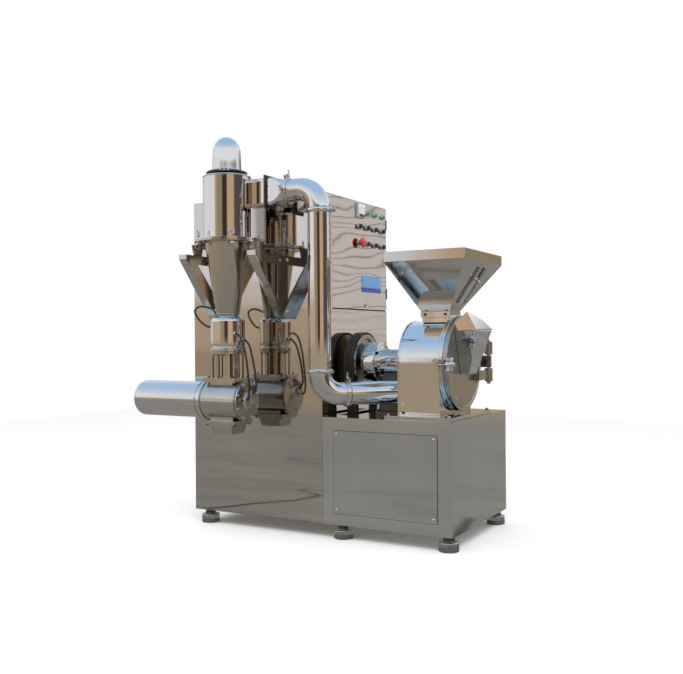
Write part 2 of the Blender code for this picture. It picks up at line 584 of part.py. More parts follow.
def build_crusher():
    axis = Vector((0, MILL_Y, MILL_Z))
    top_z = FOOT_HEIGHT + BASE.z + GAP
    housing = add_object("crusher_housing", plate_mesh(
        "housing", housing_outline(HOUSING_RADIUS, top_z), HOUSING_LEFT, HOUSING_RIGHT), POLISHED)
    additions = {
        "housing_plate": box_mesh("plate", (0.325, 0.012, top_z), (0.655, 0.545, top_z + 0.018)),
        "housing_ring": rod_mesh("ring", (HOUSING_RIGHT - 0.001, MILL_Y, MILL_Z),
                                 (DOOR_LEFT - GAP, MILL_Y, MILL_Z), RING_RADIUS, 48),
        "housing_neck": box_mesh("neck", (THROAT_LOW.x + 0.004, THROAT_LOW.y + 0.004, MILL_Z),
                                 (THROAT_HIGH.x - 0.004, THROAT_HIGH.y - 0.004,
                                  THROAT_LOW.z - GAP)),
        "housing_lug": box_mesh("lug", (0.548, 0.048, MILL_Z - 0.022),
                                (DOOR_LEFT - GAP, 0.110, MILL_Z + 0.022)),
        "housing_hinge": box_mesh("hinge", (0.560, 0.470, MILL_Z - 0.030),
                                  (DOOR_LEFT - GAP, 0.605, MILL_Z + 0.030)),
        "housing_post": box_mesh("post", (0.560, 0.575, MILL_Z - 0.030),
                                 (0.645, 0.605, MILL_Z + 0.030)),
    }
    for name, mesh in additions.items():
        use_boolean(housing, add_cutter(name, mesh), "UNION")
    towards = (OUTLET_END - RISER).normalized()
    outlet = OUTLET_END + Vector((0, 0, RISER_BOTTOM - BEND))
    holes = {
        "chamber": rod_mesh("chamber", (HOUSING_LEFT + 0.012, MILL_Y, MILL_Z),
                            (0.8, MILL_Y, MILL_Z), CHAMBER_RADIUS, 48),
        "shaft_way": rod_mesh("way", (0.3, MILL_Y, MILL_Z), (0.6, MILL_Y, MILL_Z), 0.026, 24),
        "feed_way": box_mesh("feed", (0.440, 0.270, MILL_Z), (0.545, 0.350, 1.2)),
        "outlet_way": rod_mesh("outlet", outlet - towards * 0.05, outlet + towards * 0.12,
                               0.046, 32),
        "knob_way": rod_mesh("knob", (0.5, 0.070, MILL_Z), (0.7, 0.070, MILL_Z), 0.0085, 16),
        "pin_way": rod_mesh("pin", (*DOOR_HINGE.xy, 0.5), (*DOOR_HINGE.xy, 1.2), 0.0088, 16),
    }
    for name, mesh in holes.items():
        use_boolean(housing, add_cutter(name, mesh))
    build_crusher_door(axis)
    build_rotor(axis)
    screen_low, screen_high = 0.375, 0.550
    screen = turned("ring_screen", ring(0.172, 0.1695, screen_high, screen_low), CAST,
                    (0, MILL_Y, MILL_Z), "X", 48)
    use_boolean(screen, add_cutter("screen_gap", box_mesh(
        "gap", (0.3, 0.255, MILL_Z + 0.1), (0.56, 0.365, MILL_Z + 0.2))))
    for index in range(5):
        turn = math.radians(200 + 35 * index)
        slot = add_cutter(f"screen_slot_{index}", box_mesh(
            "slot", (0.395, 0.15, -0.03), (0.530, 0.19, 0.03)), axis)
        slot.rotation_euler.x = turn
        use_boolean(screen, slot)


def build_crusher_door(axis):
    """The cast door with its feed chute; the object's origin is on the hinge pin."""
    pivot = Vector((DOOR_HINGE.x, DOOR_HINGE.y, MILL_Z))
    centre = Vector((0, MILL_Y - pivot.y, 0))
    face_x = DOOR_LEFT - pivot.x
    disc = rod_mesh("door", centre + Vector((face_x, 0, 0)), centre + Vector((face_x + 0.022, 0, 0)),
                    RING_RADIUS - 0.002, 48)
    door = add_object("crusher_door", disc, CAST, pivot)
    near, chute_top = face_x + 0.020, 0.153
    low_y, high_y = centre.y - 0.120, centre.y + 0.090
    parts_to_join = {
        "chute": loft_mesh(
            "chute", rectangle(near, near + 0.044, centre.y - 0.048, centre.y + 0.045, -0.052),
            rectangle(near, near + 0.106, low_y, high_y, chute_top)),
        "hood": loft_mesh("hood", hood_ring(near, low_y, 0.186, 0.243),
                          hood_ring(near, high_y, 0.166, 0.203)),
        "arm_high": box_mesh("arm", (face_x + 0.006, centre.y + 0.10, 0.034),
                             (face_x + 0.052, 0.006, 0.135)),
        "arm_low": box_mesh("arm", (face_x + 0.006, centre.y + 0.13, -0.100),
                            (face_x + 0.052, 0.006, -0.034)),
        "knuckle_high": rod_mesh("knuckle", (0, 0, 0.034), (0, 0, 0.135), 0.020, 20),
        "knuckle_low": rod_mesh("knuckle", (0, 0, -0.100), (0, 0, -0.034), 0.020, 20),
        "pin": rod_mesh("pin", (0, 0, -0.08), (0, 0, 0.1), 0.0080, 16),
        "door_lug": box_mesh("lug", (face_x, 0.048 - pivot.y, -0.022),
                             (face_x + 0.022, 0.110 - pivot.y, 0.022)),
    }
    for name, mesh in parts_to_join.items():
        use_boolean(door, add_cutter(name, mesh, pivot), "UNION")
    way = add_cutter("chute_way", loft_mesh(
        "way", rectangle(near + 0.005, near + 0.039, centre.y - 0.042, centre.y + 0.039, -0.046),
        rectangle(near + 0.005, near + 0.100, low_y + 0.006, high_y - 0.006, chute_top - 0.004)),
        pivot)
    feed = add_cutter("door_feed", rod_mesh(
        "feed", centre + Vector((face_x - 0.1, 0, 0)), centre + Vector((face_x + 0.05, 0, 0)),
        0.040, 24), pivot)
    hole = add_cutter("door_knob_hole", rod_mesh(
        "hole", (-0.1, 0.070 - pivot.y, 0), (0.1, 0.070 - pivot.y, 0), 0.0075, 16), pivot)
    for cutter in (way, feed, hole):
        use_boolean(door, cutter)
    knob_profile = [(0, 0.066), (0.012, 0.064), (0.016, 0.050), (0.026, 0.044), (0.028, 0.034),
                    (0.016, 0.0228), (0.0070, 0.0228), (0.0070, -0.030), (0, -0.030)]
    turned("clamp_knob", knob_profile, POLISHED,
           (face_x, 0.070 - pivot.y, 0), "X", 24, parent=door)
    lobes = bpy.data.objects["clamp_knob"]
    for index in range(4):
        turn = math.tau * index / 4
        lobe = add_cutter(f"knob_lobe_{index}", rod_mesh(
            "lobe", (0.036, 0.030 * math.cos(turn), 0.030 * math.sin(turn)),
            (0.048, 0.030 * math.cos(turn), 0.030 * math.sin(turn)), 0.010, 12),
            pivot + Vector((face_x, 0.070 - pivot.y, 0)))
        use_boolean(lobes, lobe, "UNION")


def hood_ring(near, y, eaves_z, ridge_z):
    """The hood's outline at one Y: upright at the door, pitched over the chute."""
    base_z, depth = 0.145, 0.107
    return [(near, y, base_z), (near, y, eaves_z), (near + 0.062, y, ridge_z),
            (near + depth, y, 0.160), (near + depth, y, base_z)]


def build_rotor(axis):
    shaft_end = 0.520
    rotor = add_object("hammer_rotor", rod_mesh(
        "rotor", (0.018, 0, 0), (shaft_end, 0, 0), SHAFT_RADIUS - 0.002, 24), CAST, axis)
    disc = add_cutter("rotor_disc", rod_mesh(
        "disc", (0.400, 0, 0), (0.412, 0, 0), 0.105, 32), axis)
    use_boolean(rotor, disc, "UNION")
    for index in range(6):
        hammer = add_cutter(f"hammer_{index}", box_mesh(
            "hammer", (0.405, -0.011, 0.075), (0.525, 0.011, 0.155)), axis)
        hammer.rotation_euler.x = math.tau * index / 6
        use_boolean(rotor, hammer, "UNION")
    width = PULLEY_RIGHT - PULLEY_LEFT
    turned("mill_pulley", [
        (0.045, width), (PULLEY_RADIUS, width), (PULLEY_RADIUS, 0), (0.0204, 0),
        (0.0204, width + 0.004), (0.045, width + 0.004)],
        CAST, (PULLEY_LEFT, MILL_Y, MILL_Z), "X", 32)
    start = PULLEY_RIGHT + 0.012
    big, small = 0.100, 0.066
    body = turned("bearing_housing", [
        (SHAFT_RADIUS, HOUSING_LEFT - GAP - start), (0.080, HOUSING_LEFT - GAP - start),
        (0.080, HOUSING_LEFT - 0.018 - start), (small, HOUSING_LEFT - 0.018 - start),
        (small, 0.078), (big - 0.008, 0.075), (big, 0.068), (big, 0.006), (big - 0.006, 0),
        (SHAFT_RADIUS, 0)], POLISHED, (start, MILL_Y, MILL_Z), "X", 32)
    top_z = FOOT_HEIGHT + BASE.z + GAP
    pedestal = add_cutter("pedestal", loft_mesh(
        "pedestal", rectangle(0.180, 0.312, 0.240, 0.380, top_z),
        rectangle(0.195, 0.300, 0.260, 0.360, MILL_Z - 0.050)))
    use_boolean(body, pedestal, "UNION")
    build_drive(width)


def build_drive(width):
    """Motor, its pulley, and the belts between the two pulleys."""
    turned("motor_pulley", [
        (0, 0.080), (0.014, 0.080), (0.014, width), (MOTOR_PULLEY_RADIUS, width),
        (MOTOR_PULLEY_RADIUS, 0), (0, 0)], CAST, (PULLEY_LEFT, MILL_Y, MOTOR_Z), "X", 32)
    start = PULLEY_RIGHT + 0.012
    body = turned("drive_motor", [
        (0, 0.330), (0.085, 0.325), (0.100, 0.300), (0.100, 0.030), (0.075, 0), (0.0145, 0),
        (0.0145, 0.020), (0, 0.020)], GREY_PAINT, (start, MILL_Y, MOTOR_Z), "X", 32)
    feet = add_cutter("motor_feet", box_mesh(
        "feet", (start + 0.06, MILL_Y - 0.085, FOOT_HEIGHT + SHEET + GAP),
        (start + 0.26, MILL_Y + 0.085, MOTOR_Z - 0.05)))
    use_boolean(body, feet, "UNION")
    thickness = 0.012
    outlines = []
    for extra in (0.0006 + thickness, 0.0006):
        rise = MILL_Z - MOTOR_Z
        lean = math.asin((PULLEY_RADIUS - MOTOR_PULLEY_RADIUS) / rise)
        outline = []
        for radius, centre_z, first, last, count in (
                (PULLEY_RADIUS + extra, MILL_Z, -lean, math.pi + lean, 24),
                (MOTOR_PULLEY_RADIUS + extra, MOTOR_Z, math.pi + lean, math.tau - lean, 14)):
            for index in range(count + 1):
                turn = first + (last - first) * index / count
                outline.append((MILL_Y + radius * math.cos(turn),
                                centre_z + radius * math.sin(turn)))
        outlines.append(outline)
    belts = add_object("drive_belts", plate_mesh(
        "belts", outlines[0], PULLEY_LEFT + 0.004, PULLEY_RIGHT - 0.004), BLACK)
    use_boolean(belts, add_cutter("belt_inside", plate_mesh(
        "inside", outlines[1], PULLEY_LEFT - 0.01, PULLEY_RIGHT + 0.01)))


def build_hopper():
    low, high, neck_low, neck_high = HOPPER_LOW, HOPPER_HIGH, THROAT_LOW, THROAT_HIGH
    sections = (
        (rectangle(low.x, high.x, low.y, high.y, low.z),
         rectangle(low.x, high.x, low.y, high.y, high.z)),
        (rectangle(neck_low.x, neck_high.x, neck_low.y, neck_high.y, neck_low.z + 0.03),
         rectangle(low.x, high.x, low.y, high.y, low.z + 0.001)),
        (rectangle(neck_low.x, neck_high.x, neck_low.y, neck_high.y, neck_low.z),
         rectangle(neck_low.x, neck_high.x, neck_low.y, neck_high.y, neck_low.z + 0.031)))
    wall = 0.003
    hopper = None
    for number, (bottom, top) in enumerate(sections):
        mesh = loft_mesh(f"hopper_{number}", bottom, top)
        if hopper is None:
            hopper = add_object("feed_hopper", mesh, POLISHED)
        else:
            use_boolean(hopper, add_cutter(f"hopper_part_{number}", mesh), "UNION")
    for number, (bottom, top) in enumerate(sections):
        rings = []
        for level, points in enumerate((bottom, top)):
            middle = sum((Vector(point) for point in points), Vector()) / 4
            inset = []
            for point in points:
                shift = [wall if a < b else -wall for a, b in zip(point[:2], middle[:2])]
                drop = -0.002 if level == 0 else 0.002
                inset.append((point[0] + shift[0], point[1] + shift[1], point[2] + drop))
            rings.append(inset)
        use_boolean(hopper, add_cutter(f"hopper_room_{number}", loft_mesh("room", *rings)))
    run = Vector((high.x - neck_high.x, 0, low.z - neck_low.z - 0.03))
    slope = run.normalized()
    outward = Vector((slope.z, 0, -slope.x))
    start = Vector((neck_high.x, MILL_Y - 0.035, neck_low.z + 0.03)) + outward * 0.0008
    gate_low = start + slope * 0.045
    gate = box_mesh("feed_gate", (0, 0, 0), (0.004, 0.070, 0.150))
    turn = Matrix((outward, (0, 1, 0), slope)).transposed().to_4x4()
    gate.transform(turn)
    plate = add_object("feed_gate", gate, SATIN, gate_low)
    handle = rod_mesh("gate_handle", (0.003, 0.035, 0.135), (0.030, 0.035, 0.135), 0.008, 16)
    handle.transform(turn)
    use_boolean(plate, add_cutter("gate_handle", handle, gate_low), "UNION")


def build_tubes():
    """Black pneumatic tubes, from the cone's foot to the can and down to the valve."""
    tube_radius = 0.005
    x, y = CYCLONE_X, CYCLONE_Y
    loop = [(x - 0.0610, y, 1.100), (x - 0.078, y, 1.101), (x - 0.115, y - 0.008, 1.114),
            (x - 0.160, y - 0.018, 1.118), (x - 0.186, y - 0.020, 1.096),
            (x - 0.168, y - 0.014, 1.058), (x - 0.135, y - 0.006, 1.028),
            (x - 0.102, y, 1.016), (x - 0.0832, y, 1.015)]
    tube("air_tube_loop", smooth_route(loop, 29), tube_radius, BLACK, resolution=2)
    run = [(x + 0.0832, y, 0.955), (x + 0.100, y, 0.954), (x + 0.128, y - 0.002, 0.925),
           (x + 0.148, y - 0.004, 0.860), (x + 0.162, y - 0.004, 0.790),
           (x + 0.166, y - 0.003, 0.735), (x + 0.150, y, 0.704), (x + 0.1300, y, 0.702)]
    tube("air_tube_down", smooth_route(run, 29), tube_radius, BLACK, resolution=2)
    y -= 0.045
    side = [(x + 0.0715, y, 0.985), (x + 0.088, y - 0.003, 0.984), (x + 0.116, y - 0.004, 0.955),
            (x + 0.136, y - 0.002, 0.890), (x + 0.148, y - 0.001, 0.810),
            (x + 0.156, y, 0.730), (x + 0.150, y, 0.678), (x + 0.1300, y, 0.668)]
    tube("air_tube_side", smooth_route(side, 29), tube_radius, BLACK, resolution=2)


build_cabinet()
build_control_door()
build_feet()
build_base()
build_cyclone()
build_brackets()
build_ducts()
build_crusher()
build_hopper()
build_tubes()
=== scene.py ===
"""The hammer mill set's looks: finer meshes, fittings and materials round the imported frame.

Metres, +Z up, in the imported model's frame. Places are worked out from the corner on the
floor where the cabinet's front meets the crusher base, which at() turns into the frame.
"""
import math

import bmesh
import bpy
from mathutils import Matrix, Vector


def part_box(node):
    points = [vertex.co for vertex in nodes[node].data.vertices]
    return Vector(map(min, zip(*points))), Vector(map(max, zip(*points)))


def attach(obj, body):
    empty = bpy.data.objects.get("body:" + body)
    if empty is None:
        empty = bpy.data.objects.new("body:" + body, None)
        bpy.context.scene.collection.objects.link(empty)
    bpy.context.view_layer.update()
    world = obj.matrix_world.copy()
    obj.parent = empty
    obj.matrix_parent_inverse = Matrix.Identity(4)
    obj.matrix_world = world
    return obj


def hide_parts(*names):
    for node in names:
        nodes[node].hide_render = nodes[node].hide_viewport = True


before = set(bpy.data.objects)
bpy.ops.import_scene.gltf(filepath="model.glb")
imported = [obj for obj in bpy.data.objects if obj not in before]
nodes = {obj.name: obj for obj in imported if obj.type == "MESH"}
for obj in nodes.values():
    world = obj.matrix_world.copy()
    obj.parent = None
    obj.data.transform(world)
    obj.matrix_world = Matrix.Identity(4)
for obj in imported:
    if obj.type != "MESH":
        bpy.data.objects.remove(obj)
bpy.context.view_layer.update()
scene = bpy.context.scene

X, Y, Z = Vector((1, 0, 0)), Vector((0, 1, 0)), Vector((0, 0, 1))
CORNER = Vector((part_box("cabinet_floor")[1][0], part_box("cabinet_floor")[0][1], 0))
STAND = "stand"


def at(x, y, z):
    """A point given from the corner, in the frame."""
    return CORNER + Vector((x, y, z))


def centre_of(node):
    low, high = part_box(node)
    return (Vector(low) + Vector(high)) / 2


# ---------------------------------------------------------------- shader nodes

def set_inputs(tree, node, inputs):
    """Give a node's inputs their values or their links."""
    for slot, value in inputs.items():
        if isinstance(value, bpy.types.NodeSocket):
            tree.links.new(value, node.inputs[slot])
        else:
            node.inputs[slot].default_value = value


def add_node(tree, kind, inputs=None, **settings):
    node = tree.nodes.new("ShaderNode" + kind)
    for key, value in settings.items():
        setattr(node, key, value)
    set_inputs(tree, node, inputs or {})
    return node


def blend(tree, factor, low, high):
    """The low colour where the factor is 0 and the high one where it is 1."""
    low, high = (source if isinstance(source, bpy.types.NodeSocket) else (*source, 1)
                 for source in (low, high))
    return add_node(tree, "Mix", {"Factor": factor, 6: low, 7: high},
                    data_type="RGBA").outputs[2]


# ---------------------------------------------------------------- camera and light

def build_camera():
    """The camera stands in front of the set, to the right, and looks at it level."""
    yaw, roll = math.radians(29.28), math.radians(-0.392)
    ahead = Vector((-math.sin(yaw), math.cos(yaw), 0))
    right = Vector((math.cos(yaw), math.sin(yaw), 0))
    tilted_right = right * math.cos(roll) + Z * math.sin(roll)
    tilted_up = Z * math.cos(roll) - right * math.sin(roll)
    data = bpy.data.cameras.new("camera")
    data.sensor_width = 36
    data.lens = 44.6
    camera = bpy.data.objects.new("camera", data)
    place = Vector((2.186, -3.687, 0.965))
    camera.matrix_world = Matrix((
        (tilted_right.x, tilted_up.x, -ahead.x, place.x),
        (tilted_right.y, tilted_up.y, -ahead.y, place.y),
        (tilted_right.z, tilted_up.z, -ahead.z, place.z), (0, 0, 0, 1)))
    scene.collection.objects.link(camera)
    scene.camera = camera


def share_of(degrees):
    """A compass direction as a share of the way round, from 0 at -180 degrees."""
    return (degrees + 180) / 360


def build_surroundings():
    """A plain studio: white to the eye, with soft bands of sky and yard for the steel."""
    world = bpy.data.worlds.new("studio")
    scene.world = world
    world.use_nodes = True
    tree = world.node_tree
    tree.nodes.clear()
    split = add_node(tree, "SeparateXYZ", {0: add_node(tree, "TexCoord").outputs["Generated"]})
    height = split.outputs["Z"]

    def step(operation, value, other):
        return add_node(tree, "Math", {0: value, 1: other}, operation=operation).outputs[0]

    def fade(start, end):
        """0 to 1 between two heights of direction."""
        return add_node(tree, "MapRange", {"Value": height, "From Min": start,
                                           "From Max": end}).outputs[0]

    share = add_node(tree, "MapRange", {
        "Value": step("ARCTAN2", split.outputs["Y"], split.outputs["X"]),
        "From Min": -math.pi, "From Max": math.pi}).outputs[0]
    white, tan, dark = (0.86, 0.86, 0.92), (0.62, 0.42, 0.25), (0.05, 0.035, 0.03)
    olive, plum, pink = (0.34, 0.27, 0.17), (0.10, 0.08, 0.09), (0.78, 0.73, 0.70)
    stops = ((-180, white), (-115.5, white), (-111.5, tan), (-98, olive), (-80, olive),
             (-73, dark), (-56, dark), (-51, tan), (-24, tan), (-16, plum), (24, plum),
             (34, white), (50, pink), (65.5, pink), (66.5, olive), (82, olive), (90, dark),
             (100, tan), (116, olive), (130, white))
    bands = add_node(tree, "ValToRGB", {"Fac": share})
    ramp = bands.color_ramp.elements
    ramp[0].color = (*stops[0][1], 1)
    ramp[1].color = (*stops[-1][1], 1)
    for degrees, colour in stops[1:-1]:
        ramp.new(share_of(degrees)).color = (*colour, 1)
    sky = add_node(tree, "ValToRGB", {"Fac": height})
    for element, (place, colour) in zip(sky.color_ramp.elements, (
            (0.22, (0.96, 0.98, 1.0)), (0.80, (0.42, 0.64, 0.96)))):
        element.position = place
        element.color = (*colour, 1)
    mortar = step("LESS_THAN", step("FRACT", step("MULTIPLY", height, 105.0), 0.0), 0.11)
    on_wall = step("MULTIPLY", step("GREATER_THAN", share, share_of(50)),
                   step("LESS_THAN", share, share_of(65.5)))
    lined = blend(tree, step("MULTIPLY", mortar, on_wall), bands.outputs["Color"],
                  (0.10, 0.085, 0.08))
    kerb = blend(tree, fade(0.035, 0.075), (0.55, 0.44, 0.32), lined)
    walls = blend(tree, step("LESS_THAN", share, share_of(-113)), lined, kerb)
    yard = blend(tree, fade(-0.02, 0.0), (0.42, 0.34, 0.25), walls)
    glow = add_node(tree, "Background", {
        "Color": blend(tree, fade(0.235, 0.28), yard, sky.outputs["Color"])})
    backdrop = add_node(tree, "Background", {"Color": (1, 1, 1, 1)})
    choose = add_node(tree, "MixShader", {
        0: add_node(tree, "LightPath").outputs["Is Glossy Ray"],
        1: backdrop.outputs[0], 2: glow.outputs[0]})
    add_node(tree, "OutputWorld", {"Surface": choose.outputs[0]})

    build_floors()
    for name, place, power in (("key", (2.5, -3.0, 4.2), 130), ("fill", (-3.2, -2.2, 3.0), 60)):
        data = bpy.data.lights.new(name, "AREA")
        data.size = 2.5
        data.energy = power
        light = bpy.data.objects.new(name, data)
        light.location = place
        light.rotation_euler = (Vector((0, 0, 0.9)) - Vector(place)).to_track_quat(
            "-Z", "Y").to_euler()
        light.visible_glossy = False
        scene.collection.objects.link(light)
    scene.view_settings.view_transform = "Standard"


def add_floor(name, level):
    half = 6.0
    mesh = bpy.data.meshes.new(name)
    mesh.from_pydata([(-half, -half, level), (half, -half, level), (half, half, level),
                      (-half, half, level)], [], [(0, 1, 2, 3)])
    floor = bpy.data.objects.new(name, mesh)
    scene.collection.objects.link(floor)
    paint = bpy.data.materials.new(name)
    paint.use_nodes = True
    mesh.materials.append(paint)
    return floor, paint.node_tree


def build_floors():
    """A pale floor for the eye, and a streaky concrete yard that the steel reflects."""
    floor, tree = add_floor("floor", -0.0005)
    set_inputs(tree, tree.nodes["Principled BSDF"],
               {"Base Color": (0.93, 0.93, 0.93, 1), "Roughness": 0.9})
    floor.visible_glossy = False
    yard, tree = add_floor("yard", -0.0010)
    yard.visible_camera = yard.visible_diffuse = yard.visible_shadow = False
    stretched = add_node(tree, "Mapping", {
        "Vector": add_node(tree, "TexCoord").outputs["Object"], "Scale": (0.7, 3.5, 1)}).outputs[0]
    cloud = add_node(tree, "TexNoise", {"Vector": stretched, "Scale": 1.6, "Detail": 9.0})
    cracks = add_node(tree, "TexVoronoi", {"Vector": stretched, "Scale": 0.35},
                      feature="DISTANCE_TO_EDGE")
    narrow = add_node(tree, "Math", {0: cracks.outputs["Distance"], 1: 0.006},
                      operation="LESS_THAN")
    ground = blend(tree, cloud.outputs["Fac"], (0.17, 0.165, 0.150), (0.46, 0.445, 0.405))
    set_inputs(tree, tree.nodes["Principled BSDF"], {
        "Base Color": blend(tree, narrow.outputs[0], ground, (0.06, 0.052, 0.045)),
        "Roughness": 0.9})


# ---------------------------------------------------------------- materials

def surface(name, colour, roughness, metallic=0.0, mottle=None, mottle_scale=6.0, wave=0.0,
            wave_scale=(3, 3, 3), grain=0.0, grain_scale=(400, 400, 400), coat=0.0):
    """A procedural finish: mottled colour, uneven gloss, slow waves and fine grain."""
    material = bpy.data.materials.new(name)
    material.use_nodes = True
    tree = material.node_tree
    coords = add_node(tree, "TexCoord").outputs["Object"]

    def noise(scale, detail):
        stretched = add_node(tree, "Mapping", {"Vector": coords, "Scale": scale}).outputs[0]
        return add_node(tree, "TexNoise", {"Vector": stretched, "Scale": 1.0,
                                           "Detail": detail}).outputs["Fac"]

    other = mottle or tuple(part * 0.86 for part in colour)
    gloss = add_node(tree, "MapRange", {
        "Value": noise((mottle_scale * 3,) * 3, 6.0), "To Min": roughness * 0.6,
        "To Max": roughness * 1.5})
    shader = {"Metallic": metallic, "Coat Weight": coat, "Roughness": gloss.outputs[0],
              "Base Color": blend(tree, noise((mottle_scale,) * 3, 4.0), other, colour)}
    for depth, scale, detail in ((wave, wave_scale, 1.0), (grain, grain_scale, 2.0)):
        if depth:
            below = {"Normal": shader["Normal"]} if "Normal" in shader else {}
            shader["Normal"] = add_node(tree, "Bump", {
                "Strength": 1.0, "Distance": depth, "Height": noise(scale, detail),
                **below}).outputs[0]
    set_inputs(tree, tree.nodes["Principled BSDF"], shader)
    return material


STEEL = (0.8, 0.785, 0.76)
FINISH = {
    "mirror": surface("mirror_steel", STEEL, 0.035, 1.0, mottle_scale=2.0, wave=0.00012),
    "mirror_sheet": surface("mirror_sheet", (0.72, 0.69, 0.66), 0.045, 1.0, mottle_scale=1.5,
                            wave=0.0011, wave_scale=(2.5, 2.5, 6.0)),
    "dull_sheet": surface("dull_sheet", (0.68, 0.65, 0.6), 0.05, 1.0, (0.56, 0.53, 0.49), 2.5,
                          wave=0.001, wave_scale=(2.0, 2.0, 7.0)),
    "base_sheet": surface("base_sheet", (0.76, 0.75, 0.72), 0.13, 1.0, (0.6, 0.59, 0.57), 3.0,
                          wave=0.0008, wave_scale=(2.0, 2.0, 8.0), grain=0.00003,
                          grain_scale=(6, 6, 500)),
    "side_sheet": surface("side_sheet", (0.66, 0.62, 0.59), 0.03, 1.0, mottle_scale=1.5,
                          wave=0.0026, wave_scale=(2.0, 2.0, 4.5)),
    "panel_sheet": surface("panel_sheet", (0.74, 0.73, 0.7), 0.08, 1.0, (0.6, 0.59, 0.57), 3.0,
                           wave=0.0009, wave_scale=(2.0, 2.0, 9.0), grain=0.00002,
                           grain_scale=(6, 6, 500)),
    "hopper": surface("hopper_steel", (0.7, 0.68, 0.64), 0.07, 1.0, (0.58, 0.55, 0.5), 4.0,
                      wave=0.0006, wave_scale=(5, 5, 5)),
    "satin": surface("satin_steel", (0.6, 0.58, 0.54), 0.24, 1.0, (0.42, 0.39, 0.35), 9.0,
                     grain=0.00003, grain_scale=(300, 300, 60)),
    "cone": surface("cone_steel", (0.64, 0.62, 0.56), 0.2, 1.0, (0.5, 0.48, 0.43), 4.0,
                    grain=0.00002, grain_scale=(300, 300, 30)),
    "bracket": surface("bracket_steel", (0.74, 0.7, 0.64), 0.1, 1.0, (0.56, 0.52, 0.46), 5.0,
                       wave=0.0003, wave_scale=(6, 6, 6)),
    "worn": surface("worn_steel", (0.66, 0.64, 0.6), 0.22, 1.0, (0.48, 0.44, 0.4), 8.0,
                    grain=0.00004, grain_scale=(160, 160, 160)),
    "cast": surface("cast_steel", (0.5, 0.49, 0.46), 0.2, 1.0, (0.34, 0.33, 0.31), 10.0,
                    wave=0.0004, wave_scale=(14, 14, 14), grain=0.00002),
    "dark": surface("dark_steel", (0.16, 0.15, 0.14), 0.35, 1.0, (0.08, 0.07, 0.06), 20.0,
                    grain=0.00005, grain_scale=(150, 150, 150)),
    "rubber": surface("black_rubber", (0.012, 0.012, 0.013), 0.45, 0.0, (0.03, 0.028, 0.026), 20.0,
                      grain=0.0001, grain_scale=(300, 300, 300)),
    "hose": surface("black_hose", (0.01, 0.01, 0.012), 0.22, 0.0, (0.02, 0.02, 0.022), 40.0,
                    grain=0.00002),
    "black": surface("black_plastic", (0.012, 0.012, 0.013), 0.2, 0.0, (0.02, 0.02, 0.02), 60.0,
                     coat=0.3),
    "red": surface("red_plastic", (0.62, 0.02, 0.02), 0.22, 0.0, (0.5, 0.02, 0.02), 60.0,
                   coat=0.4),
    "green": surface("green_lens", (0.02, 0.32, 0.12), 0.12, 0.0, (0.01, 0.22, 0.08), 80.0,
                     coat=0.6),
    "pale": surface("pale_face", (0.72, 0.74, 0.74), 0.3, 0.0, (0.62, 0.64, 0.65), 40.0,
                    coat=0.3),
    "case": surface("grey_case", (0.42, 0.42, 0.41), 0.35, 0.0, (0.34, 0.34, 0.33), 40.0,
                    coat=0.2),
    "blue": surface("blue_plate", (0.02, 0.06, 0.4), 0.3, 0.0, (0.02, 0.05, 0.32), 30.0,
                    coat=0.2),
    "light_blue": surface("light_blue_plate", (0.13, 0.33, 0.6), 0.3, 0.0,
                          (0.1, 0.27, 0.54), 30.0, coat=0.2),
    "paint": surface("grey_enamel", (0.16, 0.19, 0.2), 0.3, 0.0, (0.12, 0.15, 0.16), 12.0,
                     grain=0.00008, grain_scale=(220, 220, 220), coat=0.2),
    "cloth": surface("filter_cloth", (0.72, 0.7, 0.64), 0.85, 0.0, (0.55, 0.52, 0.46), 8.0,
                     grain=0.0003, grain_scale=(500, 500, 500)),
    "foot_rubber": surface("foot_rubber", (0.05, 0.047, 0.043), 0.6, 0.0, (0.1, 0.09, 0.08),
                           25.0, grain=0.0002, grain_scale=(200, 200, 200)),
}


# ---------------------------------------------------------------- shapes

def make(name, form, sharp=32):
    """A linked object from a bmesh, with smooth faces and sharp edges where it bends."""
    bmesh.ops.recalc_face_normals(form, faces=form.faces)
    mesh = bpy.data.meshes.new(name)
    form.to_mesh(mesh)
    form.free()
    mesh.shade_smooth()
    mesh.set_sharp_from_angle(angle=math.radians(sharp))
    thing = bpy.data.objects.new(name, mesh)
    scene.collection.objects.link(thing)
    even_gloss(thing)
    return thing


def even_gloss(thing):
    """Let big faces set the smooth shading, so that long walls mirror straight."""
    for modifier in [item for item in thing.modifiers if item.type == "WEIGHTED_NORMAL"]:
        thing.modifiers.remove(modifier)
    thing.modifiers.new("even_gloss", "WEIGHTED_NORMAL").keep_sharp = True


def turn_to(direction):
    """The turn that takes +Z to a direction."""
    return Vector(direction).to_track_quat("Z", "Y").to_matrix().to_4x4()


def add_lathe(form, profile, place, axis=Z, segments=72, closed=False):
    """Turn a profile of (radius, height) points into a bmesh."""
    matrix = Matrix.Translation(place) @ turn_to(axis)
    rings = []
    for radius, height in profile:
        if radius < 1e-6:
            rings.append([form.verts.new(matrix @ Vector((0, 0, height)))])
            continue
        rings.append([form.verts.new(matrix @ Vector((
            radius * math.cos(math.tau * i / segments),
            radius * math.sin(math.tau * i / segments), height))) for i in range(segments)])
    pairs = list(zip(rings, rings[1:]))
    if closed:
        pairs.append((rings[-1], rings[0]))
    for first, second in pairs:
        for i in range(segments):
            j = (i + 1) % segments
            corners = [first[i % len(first)], first[j % len(first)],
                       second[j % len(second)], second[i % len(second)]]
            unique = list(dict.fromkeys(corners))
            if len(unique) > 2:
                form.faces.new(unique)


def lathe(name, profile, place, axis=Z, segments=72, closed=False, sharp=32):
    form = bmesh.new()
    add_lathe(form, profile, place, axis, segments, closed)
    return make(name, form, sharp)


